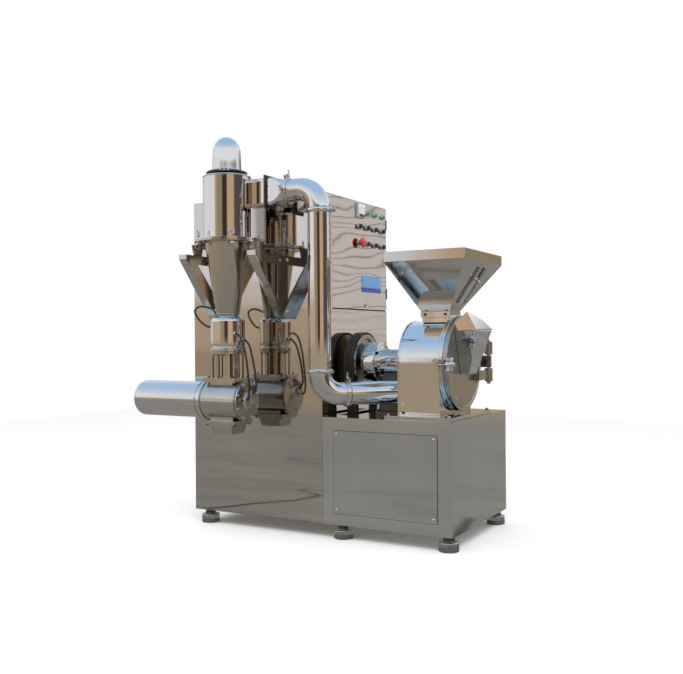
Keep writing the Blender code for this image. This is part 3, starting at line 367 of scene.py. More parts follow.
def rod(radius, low, high):
    """The profile of a plain round bar."""
    return [(0, low), (radius, low), (radius, high), (0, high)]


def spokes(count, shift=0.5, axis=X):
    """Unit vectors spread evenly round X or Z, the first one a share of a step along."""
    for index in range(count):
        turn = math.tau * (index + shift) / count
        c, s = math.cos(turn), math.sin(turn)
        yield Vector((0, c, s) if axis == X else (c, s, 0))


def join_rings(form, *rings):
    """Faces between neighbouring rings of as many corners."""
    for first, second in zip(rings, rings[1:]):
        for i in range(len(first)):
            j = (i + 1) % len(first)
            form.faces.new((first[i], first[j], second[j], second[i]))


def add_solid(form, rings):
    """A closed solid between two rings of points."""
    rings = [[form.verts.new(point) for point in ring] for ring in rings]
    join_rings(form, *rings)
    form.faces.new(rings[0])
    form.faces.new(rings[1])


def solid(name, rings):
    form = bmesh.new()
    add_solid(form, rings)
    return make(name, form, 20)


def add_torus(form, place, axis, radius, thickness, segments=32, sides=12):
    profile = [(radius + thickness * math.cos(math.tau * i / sides),
                thickness * math.sin(math.tau * i / sides)) for i in range(sides)]
    add_lathe(form, profile, place, axis, segments, True)


def add_box(form, low, high, bevel=0.0008, matrix=None):
    low, high = Vector(low), Vector(high)
    made = bmesh.ops.create_cube(form, size=1)["verts"]
    bmesh.ops.scale(form, vec=high - low, verts=made)
    bmesh.ops.translate(form, vec=(low + high) / 2, verts=made)
    if matrix:
        bmesh.ops.transform(form, matrix=matrix, verts=made)
    if bevel:
        edges = list({edge for vert in made for edge in vert.link_edges})
        bmesh.ops.bevel(form, geom=edges, offset=bevel, segments=2, affect="EDGES")


def block(name, low, high, bevel=0.0008, matrix=None):
    form = bmesh.new()
    add_box(form, low, high, bevel, matrix)
    return make(name, form, 50)


def add_bolt(form, place, axis, size, height, sides=6):
    """A hexagon head with a chamfered top, or a round one with many sides."""
    add_lathe(form, [(0, 0), (size, 0), (size, height * 0.75), (size * 0.85, height),
                     (size * 0.35, height), (size * 0.3, height * 1.15), (0, height * 1.15)],
              place, axis, sides)


def bevelled(piece, width, angle=35, segments=2):
    modifier = piece.modifiers.new("soft_edges", "BEVEL")
    modifier.width = width
    modifier.segments = segments
    modifier.limit_method = "ANGLE"
    modifier.angle_limit = math.radians(angle)
    modifier.use_clamp_overlap = True
    even_gloss(piece)
    return piece


def wire(name, points, radius):
    curve = bpy.data.curves.new(name, "CURVE")
    curve.dimensions = "3D"
    curve.bevel_depth = radius
    curve.bevel_resolution = 5
    curve.use_fill_caps = True
    spline = curve.splines.new("POLY")
    spline.points.add(len(points) - 1)
    for target, point in zip(spline.points, points):
        target.co = (*point, 1)
    thing = bpy.data.objects.new(name, curve)
    scene.collection.objects.link(thing)
    return thing


def dress(piece, finish="mirror", slot="polished_steel", body=STAND, node=None):
    """Give a new piece its finish, its body and the CAD node it stands for; the slot argument is
    not used.
    """
    piece.data.materials.clear()
    piece.data.materials.append(FINISH[finish])
    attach(piece, body)
    if node:
        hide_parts(node)
    return piece


def repaint(node, finish, bevel=0.0):
    """Give a CAD node that stays its finish, smooth faces, and its edges a small radius."""
    thing = nodes[node]
    thing.data.shade_smooth()
    thing.data.set_sharp_from_angle(angle=math.radians(35))
    if not thing.material_slots:
        thing.data.materials.append(FINISH[finish])
    for slot in thing.material_slots:
        slot.material = FINISH[finish]
    if bevel:
        bevelled(thing, bevel)


def swept(name, points, radius, wall, segments=48):
    """A hollow tube along points, with plain open ends."""
    form = bmesh.new()
    shells = []
    for shell_radius in (radius, radius - wall):
        rings = []
        side = None
        for index, point in enumerate(points):
            before = points[max(index - 1, 0)]
            after = points[min(index + 1, len(points) - 1)]
            along = (after - before).normalized()
            if side is None:
                side = along.orthogonal().normalized()
            side = (side - along * side.dot(along)).normalized()
            other = along.cross(side)
            rings.append([form.verts.new(
                point + shell_radius * (side * math.cos(math.tau * i / segments)
                                        + other * math.sin(math.tau * i / segments)))
                for i in range(segments)])
        shells.append(rings)
    join_rings(form, *shells[0], *reversed(shells[1]), shells[0][0])
    return make(name, form, 50)


def bend(start, first, second, radius):
    """Points on a quarter bend that leaves start along first and ends along second."""
    count, lead = 24, 0.006
    reach = radius - lead
    points = [Vector(start)]
    for index in range(count):
        turn = math.pi / 2 * index / (count - 1)
        points.append(Vector(start) + first * (lead + reach * math.sin(turn))
                      + second * reach * (1 - math.cos(turn)))
    return points


def arc(middle, reach, start, end, count=8):
    """Points on part of an ellipse about a middle, between two angles in degrees."""
    return [(middle[0] + reach[0] * math.cos(math.radians(start + (end - start) * i / count)),
             middle[1] + reach[1] * math.sin(math.radians(start + (end - start) * i / count)))
            for i in range(count + 1)]


# ---------------------------------------------------------------- cords

def smooth_route(route, count):
    """Evenly spread points on a smooth curve through a given route."""
    route = [Vector(point) for point in route]
    padded = [2 * route[0] - route[1], *route, 2 * route[-1] - route[-2]]
    points = []
    for index in range(count):
        place = index / (count - 1) * (len(route) - 1)
        part = min(int(place), len(route) - 2)
        t = place - part
        a, b, c, d = padded[part:part + 4]
        points.append(0.5 * (2 * b + (c - a) * t + (2 * a - 5 * b + 4 * c - d) * t ** 2
                             + (3 * b - a - 3 * c + d) * t ** 3))
    return points


TUBE_DIAMETER = 0.010


def build_air_tubes():
    """Three black pneumatic tubes, each held by a push-in fitting at both ends."""
    x, y = CYCLONE
    loop = [(x - 0.061, y, 1.1), (x - 0.078, y, 1.101), (x - 0.115, y - 0.008, 1.114),
            (x - 0.16, y - 0.018, 1.118), (x - 0.186, y - 0.02, 1.096),
            (x - 0.168, y - 0.014, 1.058), (x - 0.135, y - 0.006, 1.028),
            (x - 0.102, y, 1.016), (x - 0.0832, y, 1.015)]
    run = [(x + 0.0832, y, 0.955), (x + 0.1, y, 0.954), (x + 0.128, y - 0.002, 0.925),
           (x + 0.148, y - 0.004, 0.86), (x + 0.162, y - 0.004, 0.79),
           (x + 0.166, y - 0.003, 0.735), (x + 0.15, y, 0.704), (x + 0.13, y, 0.702)]
    y -= 0.045
    side = [(x + 0.0715, y, 0.985), (x + 0.088, y - 0.003, 0.984), (x + 0.116, y - 0.004, 0.955),
            (x + 0.136, y - 0.002, 0.89), (x + 0.148, y - 0.001, 0.81),
            (x + 0.156, y, 0.73), (x + 0.15, y, 0.678), (x + 0.13, y, 0.668)]
    for name, route in (("air_tube_loop", loop), ("air_tube_down", run), ("air_tube_side", side)):
        points = [CORNER + point for point in smooth_route(route, 57)]
        cord = dress(wire(name + "_cord", points, TUBE_DIAMETER / 2), "hose", "black_rubber",
                     node=name)
        form = bmesh.new()
        for end, inner in ((points[0], points[2]), (points[-1], points[-3])):
            along = (inner - end).normalized()
            add_lathe(form, [(0.0053, 0), (0.0085, 0), (0.0085, 0.006), (0.0075, 0.007),
                             (0.0075, 0.013), (0.0053, 0.013)], end, along, 24, True)
        dress(make(name + "_fittings", form))


# ---------------------------------------------------------------- cyclone and rotary valve

CYCLONE = (-0.405, -0.205)
BARREL_RADIUS, FLANGE_RADIUS = 0.115, 0.158
FLANGE_Z, BARREL_TOP, DOME_TOP = 1.43, 1.735, 1.932
CONE_BOTTOM, CAN_BOTTOM, NECK_BOTTOM = 1.07, 0.915, 0.772
VALVE_Z, VALVE_RADIUS = 0.663, 0.095
VALVE_LEFT, VALVE_RIGHT = -0.514, -0.3
GEAR_MOTOR_END, GEAR_MOTOR_RADIUS = -0.945, 0.088
SHEET = 0.003
GAP = 0.0004


def build_cyclone():
    place = at(*CYCLONE, 0)
    top, flange = BARREL_TOP, FLANGE_Z
    dress(lathe("barrel", [
        (BARREL_RADIUS - SHEET, top), *arc((BARREL_RADIUS - 0.002, top - 0.002), (0.002, 0.002),
                                           90, 0, 4),
        *arc((BARREL_RADIUS + 0.004, flange + 0.012), (0.004, 0.004), 180, 270, 5),
        (FLANGE_RADIUS - 0.001, flange + 0.008), (FLANGE_RADIUS, flange + 0.007),
        (FLANGE_RADIUS, flange + 0.0014), (FLANGE_RADIUS - 0.001, flange + GAP),
        (BARREL_RADIUS - SHEET, flange + GAP)], place, segments=128, closed=True),
          node="cyclone_barrel")
    dress(lathe("lid", [
        (0.05, top + GAP), (0.117, top + GAP), *arc((0.114, top + 0.003), (0.003, 0.003), 0, 80, 4),
        (0.1, top + 0.01), (0.096, top + 0.014), (0.085, top + 0.016), (0.05, top + 0.016)],
        place, segments=128, closed=True), node="cyclone_lid")
    dress(lathe("lid_clamp_band", [
        (0.0865, top + 0.0165), *arc((0.093, top + 0.0225), (0.006, 0.0058), -90, 90, 10),
        (0.0865, top + 0.0285)], place, segments=128, closed=True), "dark", "polished_steel")
    form = bmesh.new()
    for outward in spokes(2, -1 / 3, Z):
        along = Z.cross(outward)
        middle = place + outward * 0.1 + Z * (top + 0.0225)
        for side in (-1, 1):
            add_box(form, (-0.003, -0.006, -0.008), (0.003, 0.006, 0.008), 0.001,
                    Matrix.Translation(middle + along * side * 0.01) @ turn_to(along)
                    @ Matrix.Rotation(math.pi / 2, 4, "Y"))
        add_lathe(form, rod(0.003, -0.024, 0.024), middle, along, 12)
        add_bolt(form, middle + along * 0.014, along, 0.0065, 0.006)
    dress(make("lid_clamp_bolts", form))
    base = top + 0.029
    dress(lathe("dome", [
        (0.067, base), (0.076, base), (0.077, base + 0.002), (0.074, base + 0.004),
        *arc((0.074, base + 0.008), (0.004, 0.004), 270, 180, 4),
        (0.0695, base + 0.03), (0.0685, base + 0.06),
        *arc((0, DOME_TOP - 0.07), (0.0665, 0.07), 0, 90, 20)[:-1], (0, DOME_TOP),
        (0, DOME_TOP - SHEET), *arc((0, DOME_TOP - 0.07), (0.0635, 0.067), 90, 0, 16)[1:]],
        place, segments=96, closed=True, sharp=40), node="exhaust_dome")
    dress(lathe("cone", [
        (0.104, flange), (FLANGE_RADIUS, flange), (FLANGE_RADIUS, flange - 0.007),
        (FLANGE_RADIUS - 0.001, flange - 0.008), (0.112, flange - 0.008), (0.1075, flange - 0.012),
        (0.0545, CONE_BOTTOM + 0.001), (0.0515, CONE_BOTTOM + 0.001)], place, segments=128,
        closed=True), "cone", "satin_steel", node="cyclone_cone")
    form = bmesh.new()
    add_torus(form, place + Z * (CONE_BOTTOM + 0.01), Z, 0.0575, 0.0022, 96, 10)
    dress(make("cone_weld", form), "satin", "satin_steel")
    build_swing_bolts(place)
    build_receiver(place)


def build_swing_bolts(place):
    """Five hinged bolts with ring nuts that hold the barrel's flange to the cone's."""
    pins, rings = bmesh.new(), bmesh.new()
    for outward in spokes(5, -0.625, Z):
        middle = place + outward * (FLANGE_RADIUS - 0.006) + Z * FLANGE_Z
        add_lathe(pins, rod(0.004, -0.026, 0.022), middle, Z, 16)
        add_lathe(pins, [(0, 0.0085), (0.0095, 0.0085), (0.0095, 0.0105), (0.007, 0.012),
                         (0.007, 0.018), (0, 0.018)], middle, Z, 24)
        add_lathe(pins, rod(0.009, -0.009, 0.009),
                  middle - Z * 0.022, outward.cross(Z), 24)
        add_torus(rings, middle + Z * 0.0315, outward, 0.0125, 0.0035, 32, 12)
    dress(make("swing_bolts", pins))
    dress(make("ring_nuts", rings))


def build_receiver(place):
    top, bottom = CONE_BOTTOM, CAN_BOTTOM
    dress(lathe("can", [
        (0.051, top - GAP), (0.056, top - GAP), (0.06, top - 0.003),
        *arc((0.062, top - 0.028), (0.02, 0.023), 80, 0, 10),
        *arc((0.07, bottom + 0.024), (0.012, 0.02), 0, -75, 7),
        (0.072, bottom + 0.001), (0.083, bottom), (0.084, bottom - 0.001),
        (0.084, bottom - 0.011), (0.083, bottom - 0.012),
        (0.06, bottom - 0.012), (0.06, bottom), (0.069, bottom + 0.006), (0.079, bottom + 0.026),
        (0.079, top - 0.03), (0.06, top - 0.008)], place, segments=96, closed=True),
          node="receiver_can")
    neck_top = bottom - 0.012 - GAP
    ring_form, studs = bmesh.new(), bmesh.new()
    flange_low = neck_top - 0.0144
    for spoke in spokes(16, 0.5, Z):
        spot = place + spoke * 0.0735
        add_bolt(ring_form, spot + Z * flange_low, -Z, 0.006, 0.0065)
        add_lathe(ring_form, [(0.0002, 0), (0.0028, 0), (0.0028, 0.0115), (0.0002, 0.0115)],
                  spot + Z * (flange_low - 0.0118), Z, 10)
    add_lathe(ring_form, [(0.0802, neck_top - 0.001), (0.0835, neck_top - 0.002),
                          (0.0835, neck_top - 0.006), (0.0802, neck_top - 0.007)],
              place, Z, 72, True)
    dress(make("neck_ring_bolts", ring_form), "satin", "satin_steel")
    height = flange_low - NECK_BOTTOM - 0.003
    for a, b in ((-0.056, -0.044), (0.056, -0.044), (-0.056, 0.044), (0.056, 0.044),
                 (0.0, -0.071), (0.0, 0.071)):
        foot = place + Vector((a, b, NECK_BOTTOM + 0.0025))
        add_lathe(studs, rod(0.0036, 0, height), foot, Z, 12)
        add_bolt(studs, foot, Z, 0.007, 0.006)
    dress(make("neck_studs", studs), "dark", "satin_steel")
    collar = bmesh.new()
    add_torus(collar, place + Z * (flange_low - 0.0015), Z, 0.0575, 0.0018, 72, 8)
    add_torus(collar, place + Z * (NECK_BOTTOM + 0.0035), Z, 0.0575, 0.0018, 72, 8)
    dress(make("neck_welds", collar), "satin", "satin_steel")
    repaint("valve_neck", "bracket", 0.001)
    build_valve(place)


def build_valve(place):
    repaint("valve_body", "worn", 0.0012)
    repaint("valve_rotor", "cast")
    repaint("discharge_spout", "worn", 0.0008)
    axis = at(0, CYCLONE[1], VALVE_Z)
    right = axis + X * VALVE_RIGHT
    dress(lathe("end_cover", [
        (0, GAP), (0.093, GAP), (0.094, 0.0015), (0.094, 0.007), (0.092, 0.0085),
        (0.076, 0.0095), (0.072, 0.012), (0.044, 0.014), (0.041, 0.017), (0.038, 0.0205),
        (0.036, 0.022), (0.02, 0.022), (0.018, 0.019), (0.01, 0.019), (0.009, 0.023), (0, 0.0235)],
        right, X, 96), "worn", "satin_steel", node="valve_cover")
    form = bmesh.new()
    for spoke in spokes(8):
        add_bolt(form, right + spoke * 0.084 + X * 0.0088, X, 0.0062, 0.005)
    for spoke in spokes(4, 0):
        add_bolt(form, right + spoke * 0.029 + X * 0.0222, X, 0.0045, 0.0018)
    dress(make("cover_bolts", form))
    rims = bmesh.new()
    for x in (VALVE_LEFT + 0.001, VALVE_RIGHT - 0.009):
        add_lathe(rims, [(VALVE_RADIUS - 0.0005, 0), (VALVE_RADIUS + 0.0035, 0.001),
                         (VALVE_RADIUS + 0.0035, 0.007), (VALVE_RADIUS - 0.0005, 0.008)],
                  axis + X * x, X, 96, True)
    dress(make("valve_end_rims", rims), "satin", "satin_steel")
    plates = bmesh.new()
    low = VALVE_Z - 0.104
    for low_x, low_y, high_x, high_y in (
            (-0.0875, -0.0735, -0.0715, 0.0735), (0.0715, -0.0735, 0.0875, 0.0735),
            (-0.071, -0.0735, 0.071, -0.0635), (-0.071, 0.0635, 0.071, 0.0735)):
        add_box(plates, place + Vector((low_x, low_y, low - 0.0075)),
                place + Vector((high_x, high_y, low - 0.0003)), 0.001)
    dress(make("spout_flange", plates), "satin", "satin_steel")
    bolts = bmesh.new()
    for a in (-0.079, 0.079):
        for b in (-0.060, 0.060):
            add_bolt(bolts, place + Vector((a, b, low - 0.0078)), -Z, 0.006, 0.006)
            add_bolt(bolts, place + Vector((a * 0.96, b * 0.86, NECK_BOTTOM + 0.0025)), Z,
                     0.007, 0.006)
    dress(make("valve_flange_bolts", bolts), "dark", "satin_steel")
    length = VALVE_LEFT - GEAR_MOTOR_END
    radius = GEAR_MOTOR_RADIUS
    dress(lathe("gear_motor_shell", [
        (0, 0), (0.058, 0), *arc((0.058, 0.03), (radius - 0.058, 0.03), -90, 0, 12),
        (radius, length - 0.02), (0.092, length - 0.018), (0.094, length - 0.016),
        (0.094, length - 0.0015), (0.093, length - GAP), (0, length - GAP)],
        axis + X * GEAR_MOTOR_END, X, 128), node="gear_motor")
    ring_form = bmesh.new()
    for x in (-0.034, -0.028):
        add_torus(ring_form, axis + X * (VALVE_LEFT + x), X, radius + 0.0005, 0.0018, 96, 8)
    dress(make("gear_motor_bands", ring_form))


# ---------------------------------------------------------------- brackets

def build_brackets():
    for name, side in (("bracket_left", -1), ("bracket_right", 1)):
        repaint(name, "bracket", 0.0012)
        bolts = bmesh.new()
        x = CYCLONE[0] + side * (0.18 + 0.026)
        for z in (1.345, 1.09):
            add_bolt(bolts, at(x, -GAP, z), -Y, 0.009, 0.007)
        for y in (-0.03, 0.03):
            add_bolt(bolts, at(CYCLONE[0] + side * 0.172, CYCLONE[1] + y, FLANGE_Z - 0.0125), -Z,
                     0.006, 0.005)
        dress(make(name + "_bolts", bolts))


# ---------------------------------------------------------------- ducts

RISER = Vector((0.058, -0.118, 0))
RISER_BOTTOM, RISER_TOP = 0.806, 1.554
PIPE_RADIUS, PIPE_WALL, BEND = 0.054, 0.002, 0.106
OUTLET_END = Vector((0.3496, 0.183, 0))


def build_clamp(name, middle, axis, handles, radius=PIPE_RADIUS):
    """A two-half pipe clamp with swing bolts and wing nuts at the given directions."""
    dress(lathe(name, [
        (radius + 0.0006, -0.011), (radius + 0.004, -0.011), (radius + 0.006, -0.008),
        (radius + 0.008, -0.0065), (radius + 0.0095, -0.004), (radius + 0.0095, 0.004),
        (radius + 0.008, 0.0065), (radius + 0.006, 0.008), (radius + 0.004, 0.011),
        (radius + 0.0006, 0.011)], middle, axis, 96, True))
    form = bmesh.new()
    for outward in handles:
        outward = outward.normalized()
        along = outward.cross(axis).normalized()
        spot = middle + outward * (radius + 0.016)
        for side in (-1, 1):
            add_box(form, (-0.0075, -0.0085, -0.004), (0.0075, 0.0085, 0.004), 0.0015,
                    Matrix.Translation(spot + along * side * 0.009) @ turn_to(along))
        add_lathe(form, rod(0.0035, -0.018, 0.034), spot, along, 14)
        add_lathe(form, [(0, 0.014), (0.007, 0.014), (0.007, 0.022), (0.004, 0.026), (0, 0.026)],
                  spot, along, 20)
        for side in (-1, 1):
            wing = (along * 0.5 + outward * side).normalized()
            add_lathe(form, [(0, 0), (0.004, 0.001), (0.003, 0.014), (0.0048, 0.021),
                             (0.0036, 0.026), (0, 0.027)], spot + along * 0.02, wing, 14)
    dress(make(name + "_bolts", form))


def build_ducts():
    towards = (OUTLET_END - RISER).normalized()
    riser = swept("riser", [CORNER + RISER + Z * (RISER_BOTTOM + GAP),
                            CORNER + RISER + Z * (RISER_TOP - GAP)], PIPE_RADIUS, PIPE_WALL, 96)
    dress(riser, node="riser_pipe")
    upper = bend(CORNER + RISER + Z * RISER_TOP, Z, -X, BEND)
    upper.append(upper[-1] - X * 0.062)
    dress(swept("elbow_upper", upper, PIPE_RADIUS, PIPE_WALL, 72), node="upper_elbow")
    lower = bend(CORNER + RISER + Z * RISER_BOTTOM, -Z, towards, BEND)
    lower.append(lower[-1] + towards * 0.03)
    dress(swept("elbow_lower", lower, PIPE_RADIUS, PIPE_WALL, 72), node="lower_elbow")
    start = lower[-1] + towards * GAP
    end = CORNER + OUTLET_END + Z * start.z + towards * 0.08
    outlet = swept("outlet", [start, end], PIPE_RADIUS, PIPE_WALL, 72)
    cut_box(outlet, at(OUTLET_END.x, 0, 0.5), at(0.6, 0.4, 0.8))
    dress(outlet, node="outlet_pipe")
    build_clamp("clamp_top", CORNER + RISER + Z * RISER_TOP, Z, [X + Y * 0.2])
    build_clamp("clamp_bottom", CORNER + RISER + Z * RISER_BOTTOM, Z, [X * 0.8 - Y * 0.2])
    build_clamp("clamp_outlet", start, towards, [Z * 0.8 + towards.cross(Z) * 0.4])
    build_clamp("clamp_duct", upper[-1], X, [Z - Y * 0.4, -Y * 0.9 - Z * 0.2])
    build_inlet_duct(upper[-1])


def build_inlet_duct(end):
    """From the round elbow to the tall slot in the barrel's side, with a flange between."""
    form = bmesh.new()
    slot_y, corners, steps = -0.1285, 64, 8
    right_x, left_x = end.x - CORNER.x - 0.0015, end.x - CORNER.x - 0.0995
    half_width, half_height = 0.034, 0.066

    def outline(x, half_y, half_z, centre_y, power):
        """A ring that is round at power 2 and nearly square at a high power."""
        ring = []
        for index in range(corners):
            turn = math.tau * (index + 0.5) / corners
            c, s = math.cos(turn), math.sin(turn)
            reach = (abs(c) ** power + abs(s) ** power) ** (1 / power)
            ring.append(form.verts.new(Vector((
                CORNER.x + x, CORNER.y + centre_y + half_y * c / reach,
                end.z + half_z * s / reach))))
        return ring

    sections = []
    for step in range(steps + 1):
        share = step / steps
        ease = share * share * (3 - 2 * share)
        sections.append((right_x + (left_x - right_x) * share,
                         PIPE_RADIUS + (half_width - PIPE_RADIUS) * ease,
                         PIPE_RADIUS + (half_height - PIPE_RADIUS) * ease,
                         RISER.y + (slot_y - RISER.y) * ease, 2 + 14 * ease))
    sections.append((CYCLONE[0] + 0.088, half_width, half_height, slot_y, 16))
    outer = [outline(*section) for section in sections]
    inner = [outline(x, half_y - PIPE_WALL, half_z - PIPE_WALL, y, power)
             for x, half_y, half_z, y, power in sections]
    join_rings(form, *outer, *reversed(inner), outer[0])
    dress(make("inlet_transition", form, 40), node="inlet_duct")
    flange = bmesh.new()
    middle = Vector((CORNER.x + left_x, CORNER.y + slot_y, end.z))
    for low_y, low_z, high_y, high_z in (
            (-0.046, 0.0665, 0.046, 0.078), (-0.046, -0.078, 0.046, -0.0665),
            (0.0345, -0.0664, 0.046, 0.0664), (-0.046, -0.0664, -0.0345, 0.0664)):
        add_box(flange, middle + Vector((-0.010, low_y, low_z)),
                middle + Vector((-0.002, high_y, high_z)), 0.0006)
    for y in (-0.040, 0.040):
        for z in (-0.070, -0.025, 0.025, 0.070):
            add_bolt(flange, middle + Vector((-0.0018, y, z)), X, 0.0045, 0.004)
    dress(make("duct_flange", flange), "dark")


# ---------------------------------------------------------------- crusher

MILL_Y, MILL_Z = 0.31, 0.837
HOUSING_LEFT, HOUSING_RIGHT, HOUSING_RADIUS = 0.35, 0.562, 0.2
CHAMBER_RADIUS, RING_RADIUS, DOOR_LEFT = 0.176, 0.229, 0.586
HOUSING_BOTTOM = 0.5824
DOOR_HINGE = Vector((0.628, 0.590, 0))
LUG_EARS = ((-0.022, -0.009), (0.009, 0.022))
FOOT_PLATE = 0.018


def housing_rings(radius, low_z, inner_radius):
    """Matching (y, z) corners on the round-topped outline and on a circle inside it."""
    count, drop = 120, MILL_Z - low_z
    angles = {math.tau * i / count for i in range(count)}
    angles |= {math.tau - math.atan2(drop, radius), math.pi + math.atan2(drop, radius)}
    outer, inner = [], []
    for turn in sorted(angles):
        c, s = math.cos(turn), math.sin(turn)
        reach = radius if s >= 0 else min(radius / max(abs(c), 1e-6), drop / max(-s, 1e-6))
        outer.append((MILL_Y + reach * c, MILL_Z + reach * s))
        inner.append((MILL_Y + inner_radius * c, MILL_Z + inner_radius * s))
    return outer, inner


def cut_box(piece, low, high):
    """Cut a box out of a piece, and keep the result as the piece's mesh."""
    form = bmesh.new()
    add_box(form, low, high, 0)
    cutter = make("cutter", form)
    modifier = piece.modifiers.new("cut", "BOOLEAN")
    modifier.operation = "DIFFERENCE"
    modifier.object = cutter
    graph = bpy.context.evaluated_depsgraph_get()
    whole = piece.data
    piece.data = bpy.data.meshes.new_from_object(piece.evaluated_get(graph))
    piece.modifiers.clear()
    even_gloss(piece)
    bpy.data.objects.remove(cutter)
    bpy.data.meshes.remove(whole)


def build_housing():
    centre = at(0, MILL_Y, MILL_Z)
    floor = HOUSING_BOTTOM + FOOT_PLATE
    feed_low, feed_high = at(0.440, 0.270, MILL_Z + 0.1), at(0.545, 0.350, 1.2)

    def wall(name, radius, hole, span):
        """A round-topped plate with a round hole, between two x."""
        form = bmesh.new()
        outer, inner = ([[form.verts.new(at(x, *corner)) for corner in outline] for x in span]
                        for outline in housing_rings(radius, floor, hole))
        join_rings(form, *outer, *reversed(inner), outer[0])
        return make(name, form, 30)

    drum = wall("housing_drum", HOUSING_RADIUS, CHAMBER_RADIUS,
                (HOUSING_LEFT + 0.012, HOUSING_RIGHT - 0.001))
    cut_box(drum, feed_low, feed_high)
    dress(drum, node="crusher_housing")
    dress(wall("housing_back_wall", HOUSING_RADIUS, 0.026, (HOUSING_LEFT, HOUSING_LEFT + 0.0116)))
    rim = wall("housing_rim", HOUSING_RADIUS + 0.0035, HOUSING_RADIUS - 0.03,
               (HOUSING_LEFT - 0.0008, HOUSING_LEFT + 0.0045))
    dress(bevelled(rim, 0.001))
    dress(lathe("housing_ring", [
        (CHAMBER_RADIUS, HOUSING_RIGHT - 0.0006), (RING_RADIUS - 0.004, HOUSING_RIGHT - 0.0006),
        *arc((RING_RADIUS - 0.003, HOUSING_RIGHT + 0.003), (0.003, 0.003), -90, 0, 4),
        (RING_RADIUS, HOUSING_RIGHT + 0.010), (RING_RADIUS - 0.003, HOUSING_RIGHT + 0.0115),
        (RING_RADIUS - 0.003, HOUSING_RIGHT + 0.0135), (RING_RADIUS, HOUSING_RIGHT + 0.015),
        (RING_RADIUS, DOOR_LEFT - 0.0024), (RING_RADIUS - 0.0015, DOOR_LEFT - 0.0008),
        (CHAMBER_RADIUS, DOOR_LEFT - 0.0008)], centre, X, 128, True))
    dress(block("housing_foot_plate", at(0.325, 0.012, HOUSING_BOTTOM),
                at(0.655, 0.545, HOUSING_BOTTOM + 0.0176), 0.0015))
    neck = block("housing_neck", at(0.4165, 0.2495, MILL_Z + 0.195), at(0.5555, 0.3705, 1.0546),
                 0.001)
    cut_box(neck, feed_low, feed_high)
    dress(neck)
    form = bmesh.new()
    for low_z, high_z in LUG_EARS:
        add_box(form, at(0.548, 0.050, MILL_Z + low_z),
                at(DOOR_LEFT - 0.001, 0.108, MILL_Z + high_z), 0.0015)
    add_lathe(form, rod(0.006, 0, 0.052), at(0.560, 0.066, MILL_Z - 0.026), Z, 20)
    dress(make("clamp_lug", form, 50))
    form = bmesh.new()
    for low_x, low_y, high_x in ((0.560, 0.500, DOOR_LEFT - 0.001),
                                 (DOOR_LEFT - 0.0012, 0.583, 0.640)):
        add_box(form, at(low_x, low_y, MILL_Z - 0.030), at(high_x, 0.604, MILL_Z + 0.030), 0.002)
    dress(make("hinge_post", form, 50), "cast")
    form = bmesh.new()
    side = MILL_Y - HOUSING_RADIUS
    add_bolt(form, at(0.373, side - 0.0002, 0.642), -Y, 0.010, 0.010)
    add_lathe(form, rod(0.014, 0, 0.003), at(0.373, side, 0.642), -Y, 24)
    for x in (0.340, 0.640):
        for y in (0.030, 0.527):
            add_bolt(form, at(x, y, HOUSING_BOTTOM + 0.0178), Z, 0.009, 0.007)
    dress(make("housing_bolts", form))
    form = bmesh.new()
    for y in (side, MILL_Y + HOUSING_RADIUS):
        add_lathe(form, rod(0.0016, 0, 0.198), at(HOUSING_LEFT + 0.008, y, MILL_Z), X, 8)
    dress(make("housing_welds", form), "satin")


